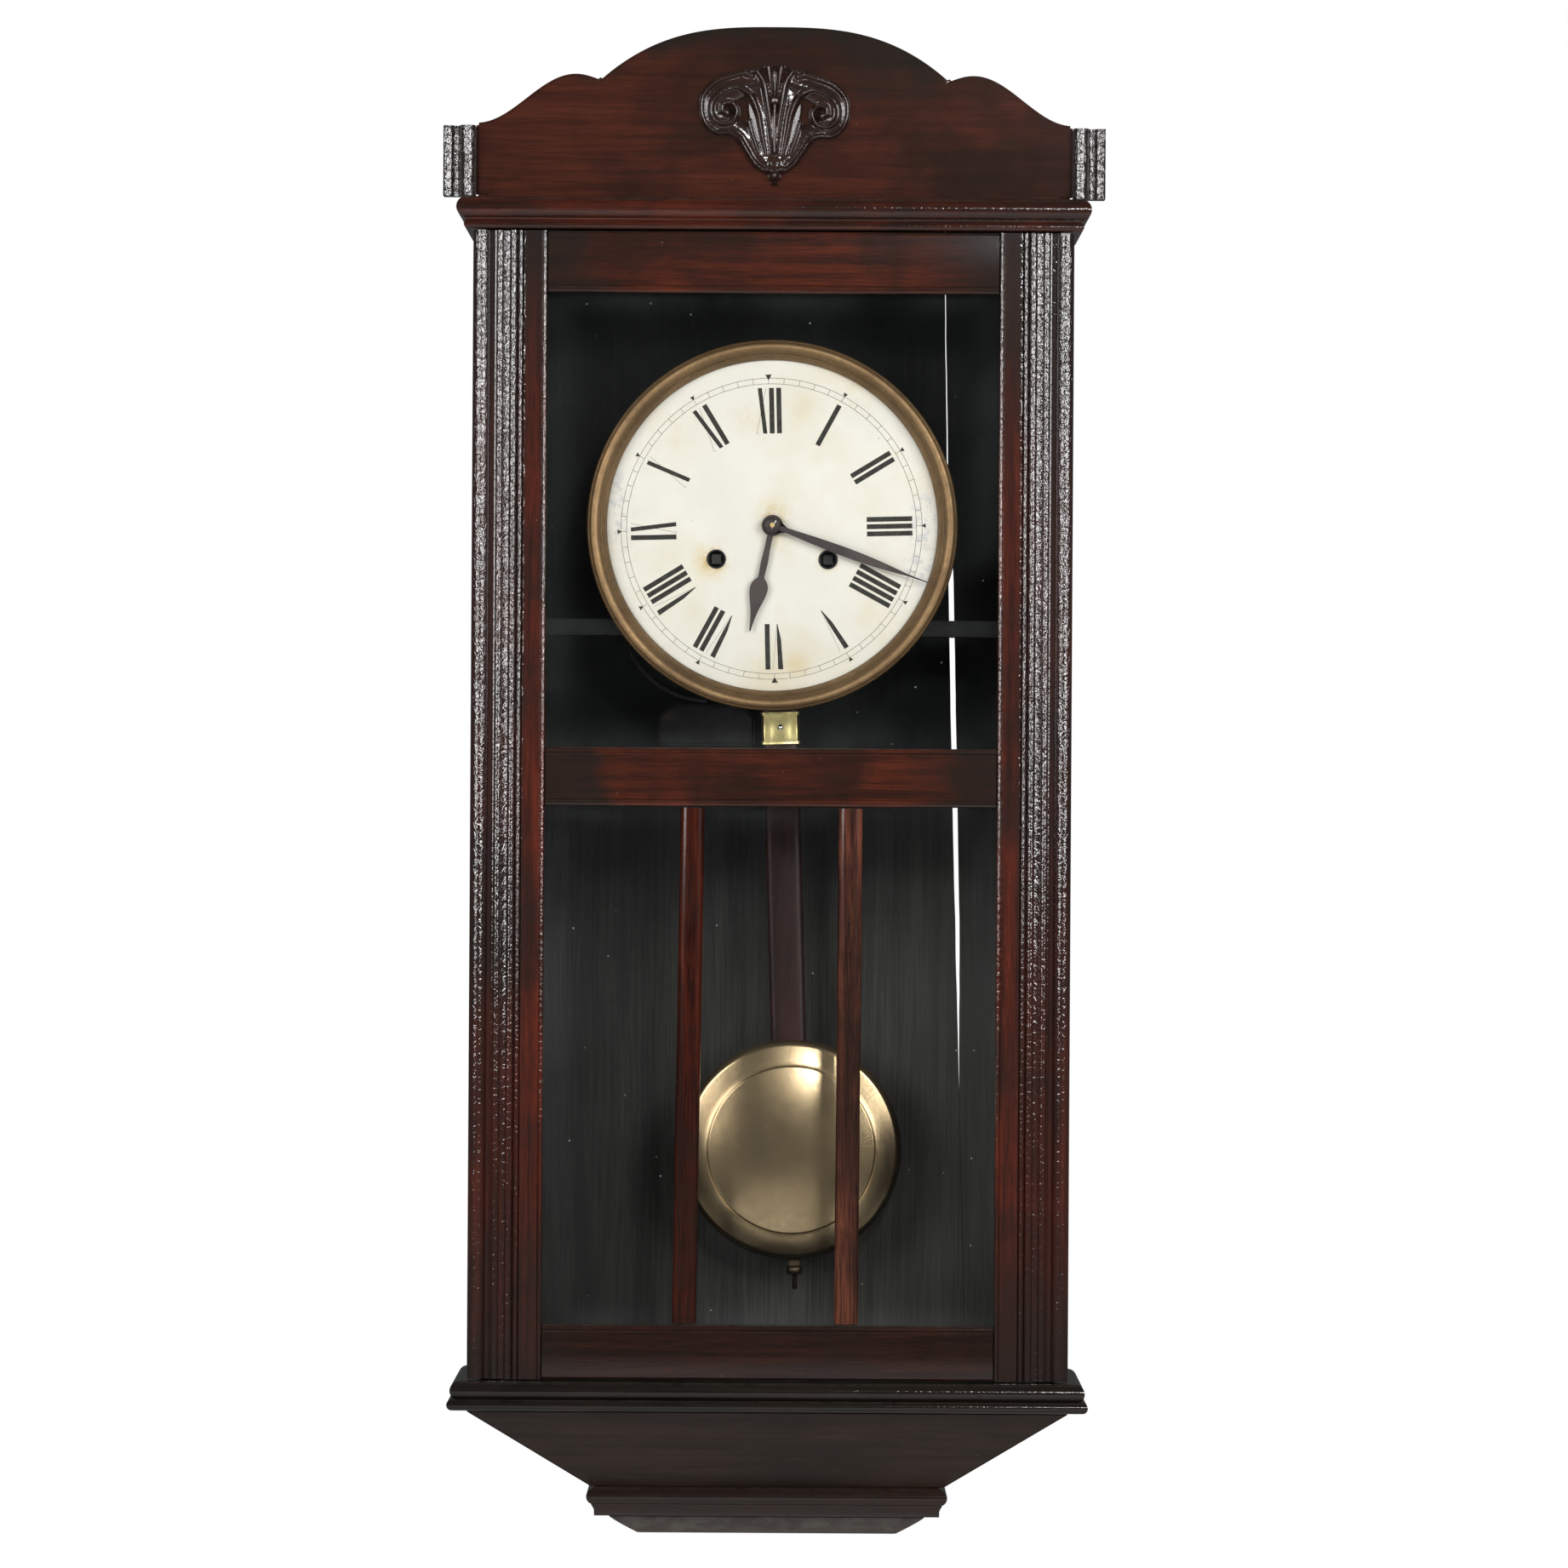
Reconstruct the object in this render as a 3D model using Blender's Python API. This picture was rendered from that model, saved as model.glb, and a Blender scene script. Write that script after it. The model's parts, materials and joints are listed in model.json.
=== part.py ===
"""Wall clock in a hanging wooden case, with a glazed door, a striking movement and a pendulum.

Lengths are in millimetres and become metres as each mesh is made. X points right, Z points up, and
the clock faces -Y. The wall is the plane y = 0, and the origin lies on it, behind the dial's centre.
"""
import math

import bmesh
import bpy
from mathutils import Vector

MM = 0.001
GAP = 0.3

# Case
CASE_HALF = 152.4
CASE_TOP = 154.8
CASE_BOTTOM = -452.4
CASE_FRONT = -128.0
BOARD = 10.0
BACK_BOARD = 8.0
HOOK_POCKET = 6.5
HOOD_FRONT = -140.6
CORNICE_TOP = 171.9
BASE_BOTTOM = -468.5
APRON_BOTTOM = -511.2
DROP_BOTTOM = -527.0
CLOCK_BOTTOM = -537.3
CREST_BOARD_HALF = 157.5
CREST_HALF = 174.8
CREST_FRONT = -140.0
CREST_TOP = 262.4

# Door
DOOR_HALF = 158.6
DOOR_TOP = 153.9
DOOR_BOTTOM = -451.9
DOOR_BACK = -128.6
DOOR_FRONT = -148.6
RAIL_FRONT = -146.6
OPENING_HALF = 119.25
REBATE = 5.0
REBATE_FACE = -137.0
TOP_RAIL_LOW = 121.5
MIDDLE_RAIL_TOP = -118.4
MIDDLE_RAIL_LOW = -149.4
BOTTOM_RAIL_TOP = -423.0
GLASS = 2.1
HINGE_X = 155.7
HINGE_Y = -125.8
HINGE_HEIGHTS = {"upper": 80.0, "lower": -380.0}
LEAF_HALF = 25.0
KNUCKLE = 2.4

# Movement plates and the seat board
PLATE_HALF = 54.0
PLATE_TOP = 58.0
PLATE_LOW = -49.7
BACK_PLATE = (-60.0, -58.0)
FRONT_PLATE = (-92.0, -90.0)
SEAT_TOP = -50.0
SEAT_LOW = -58.5
ARBOR = 0.8
PIVOT_HOLE = 1.2

# Wheels: teeth and module
BARREL_TEETH, BARREL_MODULE, BARREL_PINION = 60, 0.75, 8
SECOND_TEETH, SECOND_MODULE, CENTRE_PINION = 48, 0.62, 10
TRAIN_TEETH, TRAIN_MODULE, TRAIN_PINION = 54, 0.55, 6
ESCAPE_TEETH, ESCAPE_RADIUS = 36, 12.0
PIN_TEETH, PIN_MODULE, PIN_PINION = 48, 0.5, 6
WARNING_TEETH, WARNING_MODULE, FLY_PINION = 36, 0.45, 6
PIN_ARBOR_LEAVES = 8
CANNON_TEETH, MINUTE_TEETH, MINUTE_MODULE = 12, 36, 0.5
MINUTE_PINION, HOUR_TEETH, HOUR_MODULE = 10, 40, 0.48
RATCHET_TEETH, RATCHET_TIP, RATCHET_ROOT = 24, 10.0, 8.2

# Dial, hands and pendulum
DIAL_BACK, DIAL_FRONT = -104.0, -105.0
DIAL_RADIUS = 96.0
SIGHT_RADIUS = 87.8
BEZEL_RADIUS = 98.5
WINDING_X, WINDING_Z = 29.7, -18.0
WINDING_HOLE = 5.2
HOUR_ANGLE = 191.7
MINUTE_ANGLE = 109.9
PIVOT_Z = 50.0
PENDULUM_Y = -40.0
PENDULUM_LEAN = 1.8
BOB_DROP = 383.7
BOB_RADIUS = 59.2


# ---------------------------------------------------------------- tools

def clear_scene():
    for obj in list(bpy.data.objects):
        bpy.data.objects.remove(obj)


def finish(name, color, roughness, metallic=0.0):
    mat = bpy.data.materials.new(name)
    mat.use_nodes = True
    shader = mat.node_tree.nodes["Principled BSDF"]
    shader.inputs["Base Color"].default_value = (*color, 1.0)
    shader.inputs["Roughness"].default_value = roughness
    shader.inputs["Metallic"].default_value = metallic
    return mat


def mahogany():
    return finish("mahogany", (0.06, 0.018, 0.012), 0.25)


def interior_wood():
    return finish("stained_pine", (0.03, 0.025, 0.02), 0.7)


def brass():
    return finish("brass", (0.50, 0.36, 0.16), 0.35, 1.0)


def steel():
    return finish("steel", (0.35, 0.35, 0.36), 0.35, 1.0)


def glass():
    return finish("glass", (0.85, 0.88, 0.87), 0.05)


def enamel():
    return finish("dial_paint", (0.80, 0.78, 0.70), 0.5)


def bronze():
    return finish("bronzed_steel", (0.06, 0.035, 0.025), 0.35, 0.8)


def empty(name, x, y, z, lean=0.0):
    """An axis carrier. lean turns it about +Y, in degrees, clockwise as the front shows it."""
    obj = bpy.data.objects.new(name, None)
    obj.location = (x * MM, y * MM, z * MM)
    obj.rotation_euler = (0.0, math.radians(lean), 0.0)
    bpy.context.collection.objects.link(obj)
    return obj


def part(name, bm, mat, place=(0.0, 0.0, 0.0), lean=0.0, parent=None):
    """Turns a bmesh in millimetres into a named object. place is measured from the parent."""
    bmesh.ops.remove_doubles(bm, verts=bm.verts, dist=0.0005)
    bmesh.ops.recalc_face_normals(bm, faces=bm.faces)
    bmesh.ops.scale(bm, vec=(MM, MM, MM), verts=bm.verts)
    mesh = bpy.data.meshes.new(name)
    bm.to_mesh(mesh)
    bm.free()
    mesh.materials.append(mat)
    mesh.shade_smooth()
    mesh.set_sharp_from_angle(angle=math.radians(35.0))
    obj = bpy.data.objects.new(name, mesh)
    obj.location = (place[0] * MM, place[1] * MM, place[2] * MM)
    obj.rotation_euler = (0.0, math.radians(lean), 0.0)
    obj.parent = parent
    bpy.context.collection.objects.link(obj)
    return obj


def block(x_range, y_range, z_range):
    bm = bmesh.new()
    bmesh.ops.create_cube(bm, size=1.0)
    ranges = (x_range, y_range, z_range)
    for vert in bm.verts:
        for axis, (low, high) in enumerate(ranges):
            vert.co[axis] = high if vert.co[axis] > 0.0 else low
    return bm


def bridge(bm, loops, closed_stack=False):
    """Joins rings of equal length with quads, and caps the first and last unless the stack closes."""
    rings = [[bm.verts.new(co) for co in loop] for loop in loops]
    count = len(rings[0])
    pairs = list(zip(rings, rings[1:]))
    if closed_stack:
        pairs.append((rings[-1], rings[0]))
    for lower, upper in pairs:
        for i in range(count):
            j = (i + 1) % count
            bm.faces.new((lower[i], lower[j], upper[j], upper[i]))
    if not closed_stack:
        bm.faces.new(list(reversed(rings[0])))
        bm.faces.new(rings[-1])
    return bm


def prism(outline, axis, start, end):
    """Extrudes an outline along an axis. It is (x, z) for Y, (y, z) for X and (x, y) for Z."""
    spots = {"X": lambda a, b, t: (t, a, b), "Y": lambda a, b, t: (a, t, b), "Z": lambda a, b, t: (a, b, t)}
    place = spots[axis]
    return bridge(bmesh.new(), [[place(a, b, t) for a, b in outline] for t in (start, end)])


def lathe(profile, segments=32, centre=(0.0, 0.0)):
    """Turns (radius, y) points about an axis along Y. The profile starts and ends on the axis."""
    bm = bmesh.new()
    turns = [math.tau * i / segments for i in range(segments)]
    rings = []
    for radius, y in profile[1:-1]:
        spots = [(centre[0] + radius * math.cos(t), y, centre[1] + radius * math.sin(t)) for t in turns]
        rings.append(spots)
    bridge(bm, rings)
    bm.faces.ensure_lookup_table()
    for face, (radius, y) in zip(list(bm.faces)[-2:], (profile[0], profile[-1])):
        if all(abs(vert.co.y - y) < 1e-6 for vert in face.verts):
            continue
        pole = bmesh.ops.poke(bm, faces=[face])["verts"][0]
        pole.co = (centre[0], y, centre[1])
    return bm


def ring(profile, segments=40):
    """Turns a closed (radius, y) outline that never meets the Y axis."""
    turns = [math.tau * i / segments for i in range(segments)]
    loops = [[(radius * math.cos(t), y, radius * math.sin(t)) for t in turns] for radius, y in profile]
    return bridge(bmesh.new(), loops, closed_stack=True)


def rod_y(x, z, radius, start, end, sides=8):
    turns = [math.tau * (i + 0.5) / sides for i in range(sides)]
    return prism([(x + radius * math.cos(t), z + radius * math.sin(t)) for t in turns], "Y", start, end)


def rod_z(x, y, radius, start, end, sides=8):
    turns = [math.tau * (i + 0.5) / sides for i in range(sides)]
    return prism([(x + radius * math.cos(t), y + radius * math.sin(t)) for t in turns], "Z", start, end)


def boolean(base, tool, operation):
    """Joins or cuts two bmeshes with Blender's exact solver, and returns the result."""
    objects = []
    for bm in (base, tool):
        bmesh.ops.recalc_face_normals(bm, faces=bm.faces)
        mesh = bpy.data.meshes.new("operand")
        bm.to_mesh(mesh)
        bm.free()
        obj = bpy.data.objects.new("operand", mesh)
        bpy.context.collection.objects.link(obj)
        objects.append(obj)
    modifier = objects[0].modifiers.new("join", "BOOLEAN")
    modifier.solver = "EXACT"
    modifier.operation = operation
    modifier.object = objects[1]
    shape = objects[0].evaluated_get(bpy.context.evaluated_depsgraph_get()).to_mesh()
    result = bmesh.new()
    result.from_mesh(shape)
    for obj in objects:
        bpy.data.meshes.remove(obj.data)
    return result


def union(base, *tools):
    for tool in tools:
        base = boolean(base, tool, "UNION")
    return base


def cut(base, *tools):
    for tool in tools:
        base = boolean(base, tool, "DIFFERENCE")
    return base


def polar(radius, degrees):
    """A point in the (x, z) plane, with 0 degrees at the top and clockwise as the front shows it."""
    angle = math.radians(degrees)
    return (radius * math.sin(angle), radius * math.cos(angle))


def bearing(start, end):
    """The polar angle from one (x, z) point to another, in degrees."""
    return math.degrees(math.atan2(end[0] - start[0], end[1] - start[1]))


def triangle_apex(start, end, start_reach, end_reach, side):
    """The (x, z) point at given distances from two points, on one side of the line between them."""
    run = Vector(end) - Vector(start)
    span = run.length
    along = (start_reach ** 2 - end_reach ** 2 + span ** 2) / (2.0 * span)
    off = math.sqrt(start_reach ** 2 - along ** 2)
    run.normalize()
    return tuple(Vector(start) + run * along + Vector((-run.y, run.x)) * off * side)


# ---------------------------------------------------------------- wheels

def wheel_outline(teeth, module, toward):
    """Pointed teeth close together, one of them at the polar angle `toward`."""
    pitch = 360.0 / teeth
    tip = module * (teeth / 2.0 + 0.75)
    root = module * (teeth / 2.0 - 1.1)
    points = []
    for i in range(teeth):
        points.append(polar(tip, toward + i * pitch))
        points.append(polar(root, toward + (i + 0.5) * pitch))
    return points


def pinion_outline(leaves, module, toward):
    """Slender leaves with wide gaps, one gap at the polar angle `toward`."""
    pitch = 360.0 / leaves
    tip = module * (leaves / 2.0 + 0.75)
    root = module * (leaves / 2.0 - 1.1)
    points = []
    for i in range(leaves):
        middle = toward + (i + 0.5) * pitch
        points.append(polar(root, middle - 0.25 * pitch))
        points.append(polar(tip, middle))
        points.append(polar(root, middle + 0.25 * pitch))
    return points


def wheel(teeth, module, toward, y_range):
    return prism(wheel_outline(teeth, module, toward), "Y", *y_range)


def pinion(leaves, module, toward, y_range):
    return prism(pinion_outline(leaves, module, toward), "Y", *y_range)


def saw_wheel(teeth, tip, root, toward, y_range):
    """A wheel of one-sided teeth, whose steep faces follow each tip clockwise."""
    pitch = 360.0 / teeth
    points = []
    for i in range(teeth):
        points.append(polar(tip, toward + i * pitch))
        points.append(polar(root, toward + (i + 0.04) * pitch))
    return prism(points, "Y", *y_range)


def reach(teeth, pinion, module):
    return (teeth + pinion) * module / 2.0


CENTRE = (0.0, 0.0)
GOING_BARREL = (WINDING_X, WINDING_Z)
STRIKE_BARREL = (-WINDING_X, WINDING_Z)
SECOND = triangle_apex(CENTRE, GOING_BARREL, reach(SECOND_TEETH, CENTRE_PINION, SECOND_MODULE),
                       reach(BARREL_TEETH, BARREL_PINION, BARREL_MODULE), 1.0)
THIRD = (0.0, reach(TRAIN_TEETH, TRAIN_PINION, TRAIN_MODULE))
ESCAPE = (0.0, 2.0 * THIRD[1])
PALLET = (0.0, PIVOT_Z)
STRIKE_SECOND = (-SECOND[0], SECOND[1])
PIN_ARBOR = tuple(Vector(STRIKE_SECOND)
                  + Vector(polar(reach(SECOND_TEETH, PIN_ARBOR_LEAVES, SECOND_MODULE), -33.0)))
WARNING_ARBOR = tuple(Vector(PIN_ARBOR)
                      + Vector(polar(reach(PIN_TEETH, PIN_PINION, PIN_MODULE), 48.0)))
FLY_ARBOR = tuple(Vector(WARNING_ARBOR)
                  + Vector(polar(reach(WARNING_TEETH, FLY_PINION, WARNING_MODULE), -25.0)))
HAMMER_ARBOR = (-44.0, 30.0)
MINUTE_STUD = (0.0, -reach(MINUTE_TEETH, CANNON_TEETH, MINUTE_MODULE))
PILLARS = [(x, z) for x in (-49.0, 49.0) for z in (-44.0, 52.0)]
DIAL_FEET = [(x, z) for x in (-44.0, 44.0) for z in (-36.0, 40.0)]


def train_arbor():
    return rod_y(0.0, 0.0, ARBOR, FRONT_PLATE[0] + 0.2, BACK_PLATE[1] - 0.2)


def build_wheel(name, place, pieces, mat, bore=None):
    """Joins the coaxial pieces of one wheel, modelled about the axis, and puts it at its arbor."""
    shape = union(pieces[0], *pieces[1:])
    if bore:
        shape = cut(shape, bore)
    axis = empty(name + "_axis", place[0], 0.0, place[1])
    return part(name, shape, mat, parent=axis)


def barrel(name, place, toward):
    great_wheel = wheel(BARREL_TEETH, BARREL_MODULE, toward, (-81.0, -78.8))
    drum = rod_y(0.0, 0.0, 20.0, -79.5, -64.0, 24)
    build_wheel(name, place, [great_wheel, drum], brass(), bore=rod_y(0.0, 0.0, 3.4, -90.0, -60.5, 10))


def winding_arbor(name, place, side):
    """The barrel's arbor with its ratchet wheel, and a square end for the key."""
    core = rod_y(0.0, 0.0, 2.6, -95.0, BACK_PLATE[1] - 0.2, 10)
    ratchet = saw_wheel(RATCHET_TEETH, RATCHET_TIP, RATCHET_ROOT, 0.0, (-94.6, -92.5))
    bmesh.ops.scale(ratchet, vec=(side, 1.0, 1.0), verts=ratchet.verts)
    square = block((-2.5, 2.5), (-102.3, -94.0), (-2.5, 2.5))
    build_wheel(name, place, [core, ratchet, square], steel())


def click(name, place, side):
    """The pawl that holds the ratchet, on its screw in the front plate."""
    inner = [polar(9.3, 2.4), polar(10.5, 8.0), polar(10.8, 22.0), polar(12.8, 45.0)]
    outer = [polar(17.0, 45.0), polar(14.0, 22.0), polar(12.6, 8.0), polar(10.9, 1.9)]
    screw = polar(16.0, 58.0)
    body = prism(inner + outer, "Y", -94.4, -92.6)
    body = union(body, rod_y(screw[0], screw[1], 3.6, -94.4, -92.6, 12))
    bmesh.ops.translate(body, vec=(-screw[0], 0.0, -screw[1]), verts=body.verts)
    bmesh.ops.scale(body, vec=(side, 1.0, 1.0), verts=body.verts)
    axis = empty(name + "_axis", place[0] + side * screw[0], 0.0, place[1] + screw[1])
    part(name, body, steel(), parent=axis)


def second_arbor(name, place, barrel_place, next_place, wheel_range):
    """The arbor that the great wheel drives."""
    large = wheel(SECOND_TEETH, SECOND_MODULE, bearing(place, next_place), wheel_range)
    small = pinion(BARREL_PINION, BARREL_MODULE, bearing(place, barrel_place), (-81.4, -78.4))
    build_wheel(name, place, [train_arbor(), large, small], brass())


def going_train():
    barrel("going_barrel", GOING_BARREL, bearing(GOING_BARREL, SECOND))
    winding_arbor("going_winding_arbor", GOING_BARREL, 1.0)
    click("going_click", GOING_BARREL, 1.0)
    second_arbor("second_wheel", SECOND, GOING_BARREL, CENTRE, (-85.5, -84.1))
    third = wheel(TRAIN_TEETH, TRAIN_MODULE, bearing(THIRD, ESCAPE), (-74.2, -73.0))
    third_pinion = pinion(TRAIN_PINION, TRAIN_MODULE, bearing(THIRD, CENTRE), (-88.8, -86.8))
    build_wheel("third_wheel", THIRD, [train_arbor(), third, third_pinion], brass())
    escape = saw_wheel(ESCAPE_TEETH, ESCAPE_RADIUS, 10.3, 0.0, (-67.2, -66.0))
    escape_pinion = pinion(TRAIN_PINION, TRAIN_MODULE, bearing(ESCAPE, THIRD), (-74.8, -72.4))
    build_wheel("escape_wheel", ESCAPE, [train_arbor(), escape, escape_pinion], brass())


def centre_arbor():
    """The centre wheel, its pinion and the cannon pinion, on the arbor that carries the minute hand."""
    pieces = [
        train_arbor(),
        wheel(TRAIN_TEETH, TRAIN_MODULE, bearing(CENTRE, THIRD), (-88.4, -87.2)),
        pinion(CENTRE_PINION, SECOND_MODULE, bearing(CENTRE, SECOND), (-86.2, -83.5)),
        pinion(CANNON_TEETH, MINUTE_MODULE, bearing(CENTRE, MINUTE_STUD), (-96.2, -93.2)),
        rod_y(0.0, 0.0, 1.9, -109.8, -96.0, 10),
        rod_y(0.0, 0.0, 1.3, -115.0, -91.5, 8),
    ]
    build_wheel("centre_arbor", CENTRE, pieces, brass())


def motion_work():
    large = wheel(MINUTE_TEETH, MINUTE_MODULE, bearing(MINUTE_STUD, CENTRE), (-95.4, -94.0))
    small = pinion(MINUTE_PINION, HOUR_MODULE, bearing(MINUTE_STUD, CENTRE), (-99.8, -97.2))
    stud = rod_y(0.0, 0.0, ARBOR, -101.0, FRONT_PLATE[1] - 0.2)
    build_wheel("minute_wheel", MINUTE_STUD, [stud, large, small], brass())
    hour = wheel(HOUR_TEETH, HOUR_MODULE, bearing(CENTRE, MINUTE_STUD), (-99.2, -98.0))
    pipe = rod_y(0.0, 0.0, 3.0, -108.7, -98.2, 12)
    build_wheel("hour_wheel", CENTRE, [hour, pipe], brass(), bore=rod_y(0.0, 0.0, 2.4, -110.0, -97.0, 12))


def anchor_and_crutch():
    """The pallets, their arbor, and the crutch whose pin drives the pendulum rod."""
    half = [(5.0, 2.2), (11.2, -3.4), (12.4, -8.2), (9.9, -7.2), (8.4, -4.0), (3.2, -2.6)]
    outline = [(0.0, 3.2)] + half + [(0.0, -2.8)] + [(-x, z) for x, z in reversed(half)]
    pieces = [
        rod_y(0.0, 0.0, 1.3, FRONT_PLATE[0] + 0.2, -51.0),
        prism(outline, "Y", -67.8, -65.4),
        block((-1.4, 1.4), (-53.0, -51.4), (-47.0, 0.6)),
        rod_y(0.0, -45.6, 1.1, -53.0, -37.0),
    ]
    pivot = empty("anchor_axis", 0.0, 0.0, PIVOT_Z, -PENDULUM_LEAN)
    part("anchor", union(pieces[0], *pieces[1:]), steel(), parent=pivot)


# ---------------------------------------------------------------- strike

def pin_arbor():
    large = wheel(PIN_TEETH, PIN_MODULE, bearing(PIN_ARBOR, WARNING_ARBOR), (-77.2, -76.0))
    small = pinion(PIN_ARBOR_LEAVES, SECOND_MODULE, bearing(PIN_ARBOR, STRIKE_SECOND), (-83.4, -81.4))
    lifting_pins = [rod_y(*polar(9.5, i * 45.0), 0.7, -76.4, -73.5, 4) for i in range(8)]
    build_wheel("pin_wheel", PIN_ARBOR, [train_arbor(), large, small] + lifting_pins, brass())


def warning_arbor():
    large = wheel(WARNING_TEETH, WARNING_MODULE, bearing(WARNING_ARBOR, FLY_ARBOR), (-71.2, -70.0))
    small = pinion(PIN_PINION, PIN_MODULE, bearing(WARNING_ARBOR, PIN_ARBOR), (-77.7, -75.5))
    build_wheel("warning_wheel", WARNING_ARBOR, [train_arbor(), large, small], brass())


def fly():
    """The air brake: two blades on the last arbor of the strike train."""
    blades = block((-7.0, 7.0), (-88.0, -78.0), (-0.35, 0.35))
    small = pinion(FLY_PINION, WARNING_MODULE, bearing(FLY_ARBOR, WARNING_ARBOR), (-71.8, -69.4))
    build_wheel("fly", FLY_ARBOR, [train_arbor(), small, blades], brass())


def strike_train():
    barrel("strike_barrel", STRIKE_BARREL, bearing(STRIKE_BARREL, STRIKE_SECOND))
    winding_arbor("strike_winding_arbor", STRIKE_BARREL, -1.0)
    click("strike_click", STRIKE_BARREL, -1.0)
    second_arbor("strike_second_wheel", STRIKE_SECOND, STRIKE_BARREL, PIN_ARBOR, (-83.0, -81.8))
    pin_arbor()
    warning_arbor()
    fly()


def hammer():
    """The strike hammer: an arbor, an arm behind the back plate and a head beside the gong."""
    head_x, head_z = -19.0, -25.0
    arm = [(-1.6, 2.0), (1.6, 0.6), (head_x + 1.8, head_z - 0.8), (head_x - 1.4, head_z + 0.8)]
    pieces = [
        rod_y(0.0, 0.0, 1.3, FRONT_PLATE[0] + 0.2, -51.0),
        prism(arm, "Y", -53.0, -51.4),
        rod_y(head_x, head_z, 1.3, -52.6, -20.0),
        rod_y(head_x, head_z, 5.0, -28.0, -14.0, 12),
    ]
    axis = empty("hammer_axis", HAMMER_ARBOR[0], 0.0, HAMMER_ARBOR[1])
    part("hammer", union(pieces[0], *pieces[1:]), steel(), parent=axis)


def gong():
    """A flat coil of steel wire, above the block that holds its outer end."""
    centre_x, centre_z, outer, inner, turns, steps = -35.0, -45.0, 48.0, 30.0, 2.0, 18
    curve = bpy.data.curves.new("gong_coil", "CURVE")
    curve.dimensions = "3D"
    curve.bevel_depth = 1.4 * MM
    curve.bevel_resolution = 1
    curve.use_fill_caps = True
    count = int(turns * steps) + 1
    spline = curve.splines.new("POLY")
    spline.points.add(count - 1)
    for i in range(count):
        share = i / (count - 1)
        radius = outer + (inner - outer) * share
        x, z = polar(radius, 180.0 + 360.0 * turns * share)
        spline.points[i].co = ((centre_x + x) * MM, -20.0 * MM, (centre_z + z) * MM, 1.0)
    curve.materials.append(steel())
    coil = bpy.data.objects.new("gong_coil", curve)
    bpy.context.collection.objects.link(coil)
    foot = block((-61.0, -9.0), (-29.0, -BACK_BOARD - GAP), (-117.0, -94.8))
    bmesh.ops.bevel(foot, geom=foot.edges[:], offset=1.2, segments=1, affect="EDGES")
    part("gong_block", foot, finish("black_paint", (0.02, 0.02, 0.02), 0.4))


# ---------------------------------------------------------------- plates, dial and hands

def pivot_holes(arbors, radius, y_range):
    return [rod_y(x, z, radius, y_range[0] - 1.0, y_range[1] + 1.0) for x, z in arbors]


def plates():
    arbors = [SECOND, THIRD, ESCAPE, STRIKE_SECOND, PIN_ARBOR, WARNING_ARBOR, FLY_ARBOR]
    barrels = [GOING_BARREL, STRIKE_BARREL]
    outline = ((-PLATE_HALF, PLATE_HALF), (PLATE_LOW, PLATE_TOP))
    back = block(outline[0], BACK_PLATE, outline[1])
    back = cut(back, *pivot_holes(arbors + [CENTRE], PIVOT_HOLE, BACK_PLATE))
    back = cut(back, *pivot_holes(barrels, 3.1, BACK_PLATE))
    back = cut(back, *pivot_holes([PALLET, HAMMER_ARBOR], 1.9, BACK_PLATE))
    for x, z in PILLARS:
        back = union(back, rod_y(x, z, 3.4, FRONT_PLATE[1] + GAP, BACK_PLATE[0] + 0.5))
    cock_arm = block((-8.0, 8.0), (BACK_PLATE[1] - 0.5, -36.0), (52.3, 56.5))
    cock_lip = block((-6.0, 6.0), (-45.0, -36.2), (50.4, 53.0))
    part("back_plate", union(back, cock_arm, cock_lip), brass())
    front = block(outline[0], FRONT_PLATE, outline[1])
    front = cut(front, *pivot_holes(arbors + [MINUTE_STUD], PIVOT_HOLE, FRONT_PLATE))
    front = cut(front, *pivot_holes(barrels, 3.1, FRONT_PLATE))
    front = cut(front, *pivot_holes([CENTRE, PALLET, HAMMER_ARBOR], 1.9, FRONT_PLATE))
    part("front_plate", front, brass())


def dial():
    plate = rod_y(0.0, 0.0, DIAL_RADIUS, DIAL_FRONT, DIAL_BACK, 48)
    for x, z in DIAL_FEET:
        plate = union(plate, rod_y(x, z, 2.0, DIAL_BACK - 0.4, FRONT_PLATE[0] - GAP))
    holes = [rod_y(0.0, 0.0, 4.0, -106.0, -103.0, 12)]
    holes += [rod_y(x, WINDING_Z, WINDING_HOLE, -106.0, -103.0, 16) for x in (-WINDING_X, WINDING_X)]
    part("dial_plate", cut(plate, *holes), enamel())
    roll = [(93.2, -114.4), (95.8, -116.0), (98.0, -114.2), (BEZEL_RADIUS, -110.5), (97.6, -105.4)]
    sight = [(SIGHT_RADIUS + 0.6, -105.4), (SIGHT_RADIUS, -106.6), (91.6, -111.4)]
    part("dial_bezel", ring(sight + roll, 36), brass())


def hand_outline(stations, hub_radius):
    """A hand from (distance, half width) stations, with a round hub about its axis."""
    first = math.degrees(math.asin(stations[0][1] / hub_radius))
    hub = [polar(hub_radius, first + (360.0 - 2.0 * first) * i / 12.0) for i in range(13)]
    left = [(-half, distance) for distance, half in stations]
    right = [(half, distance) for distance, half in reversed(stations)]
    return hub + left + right


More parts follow.
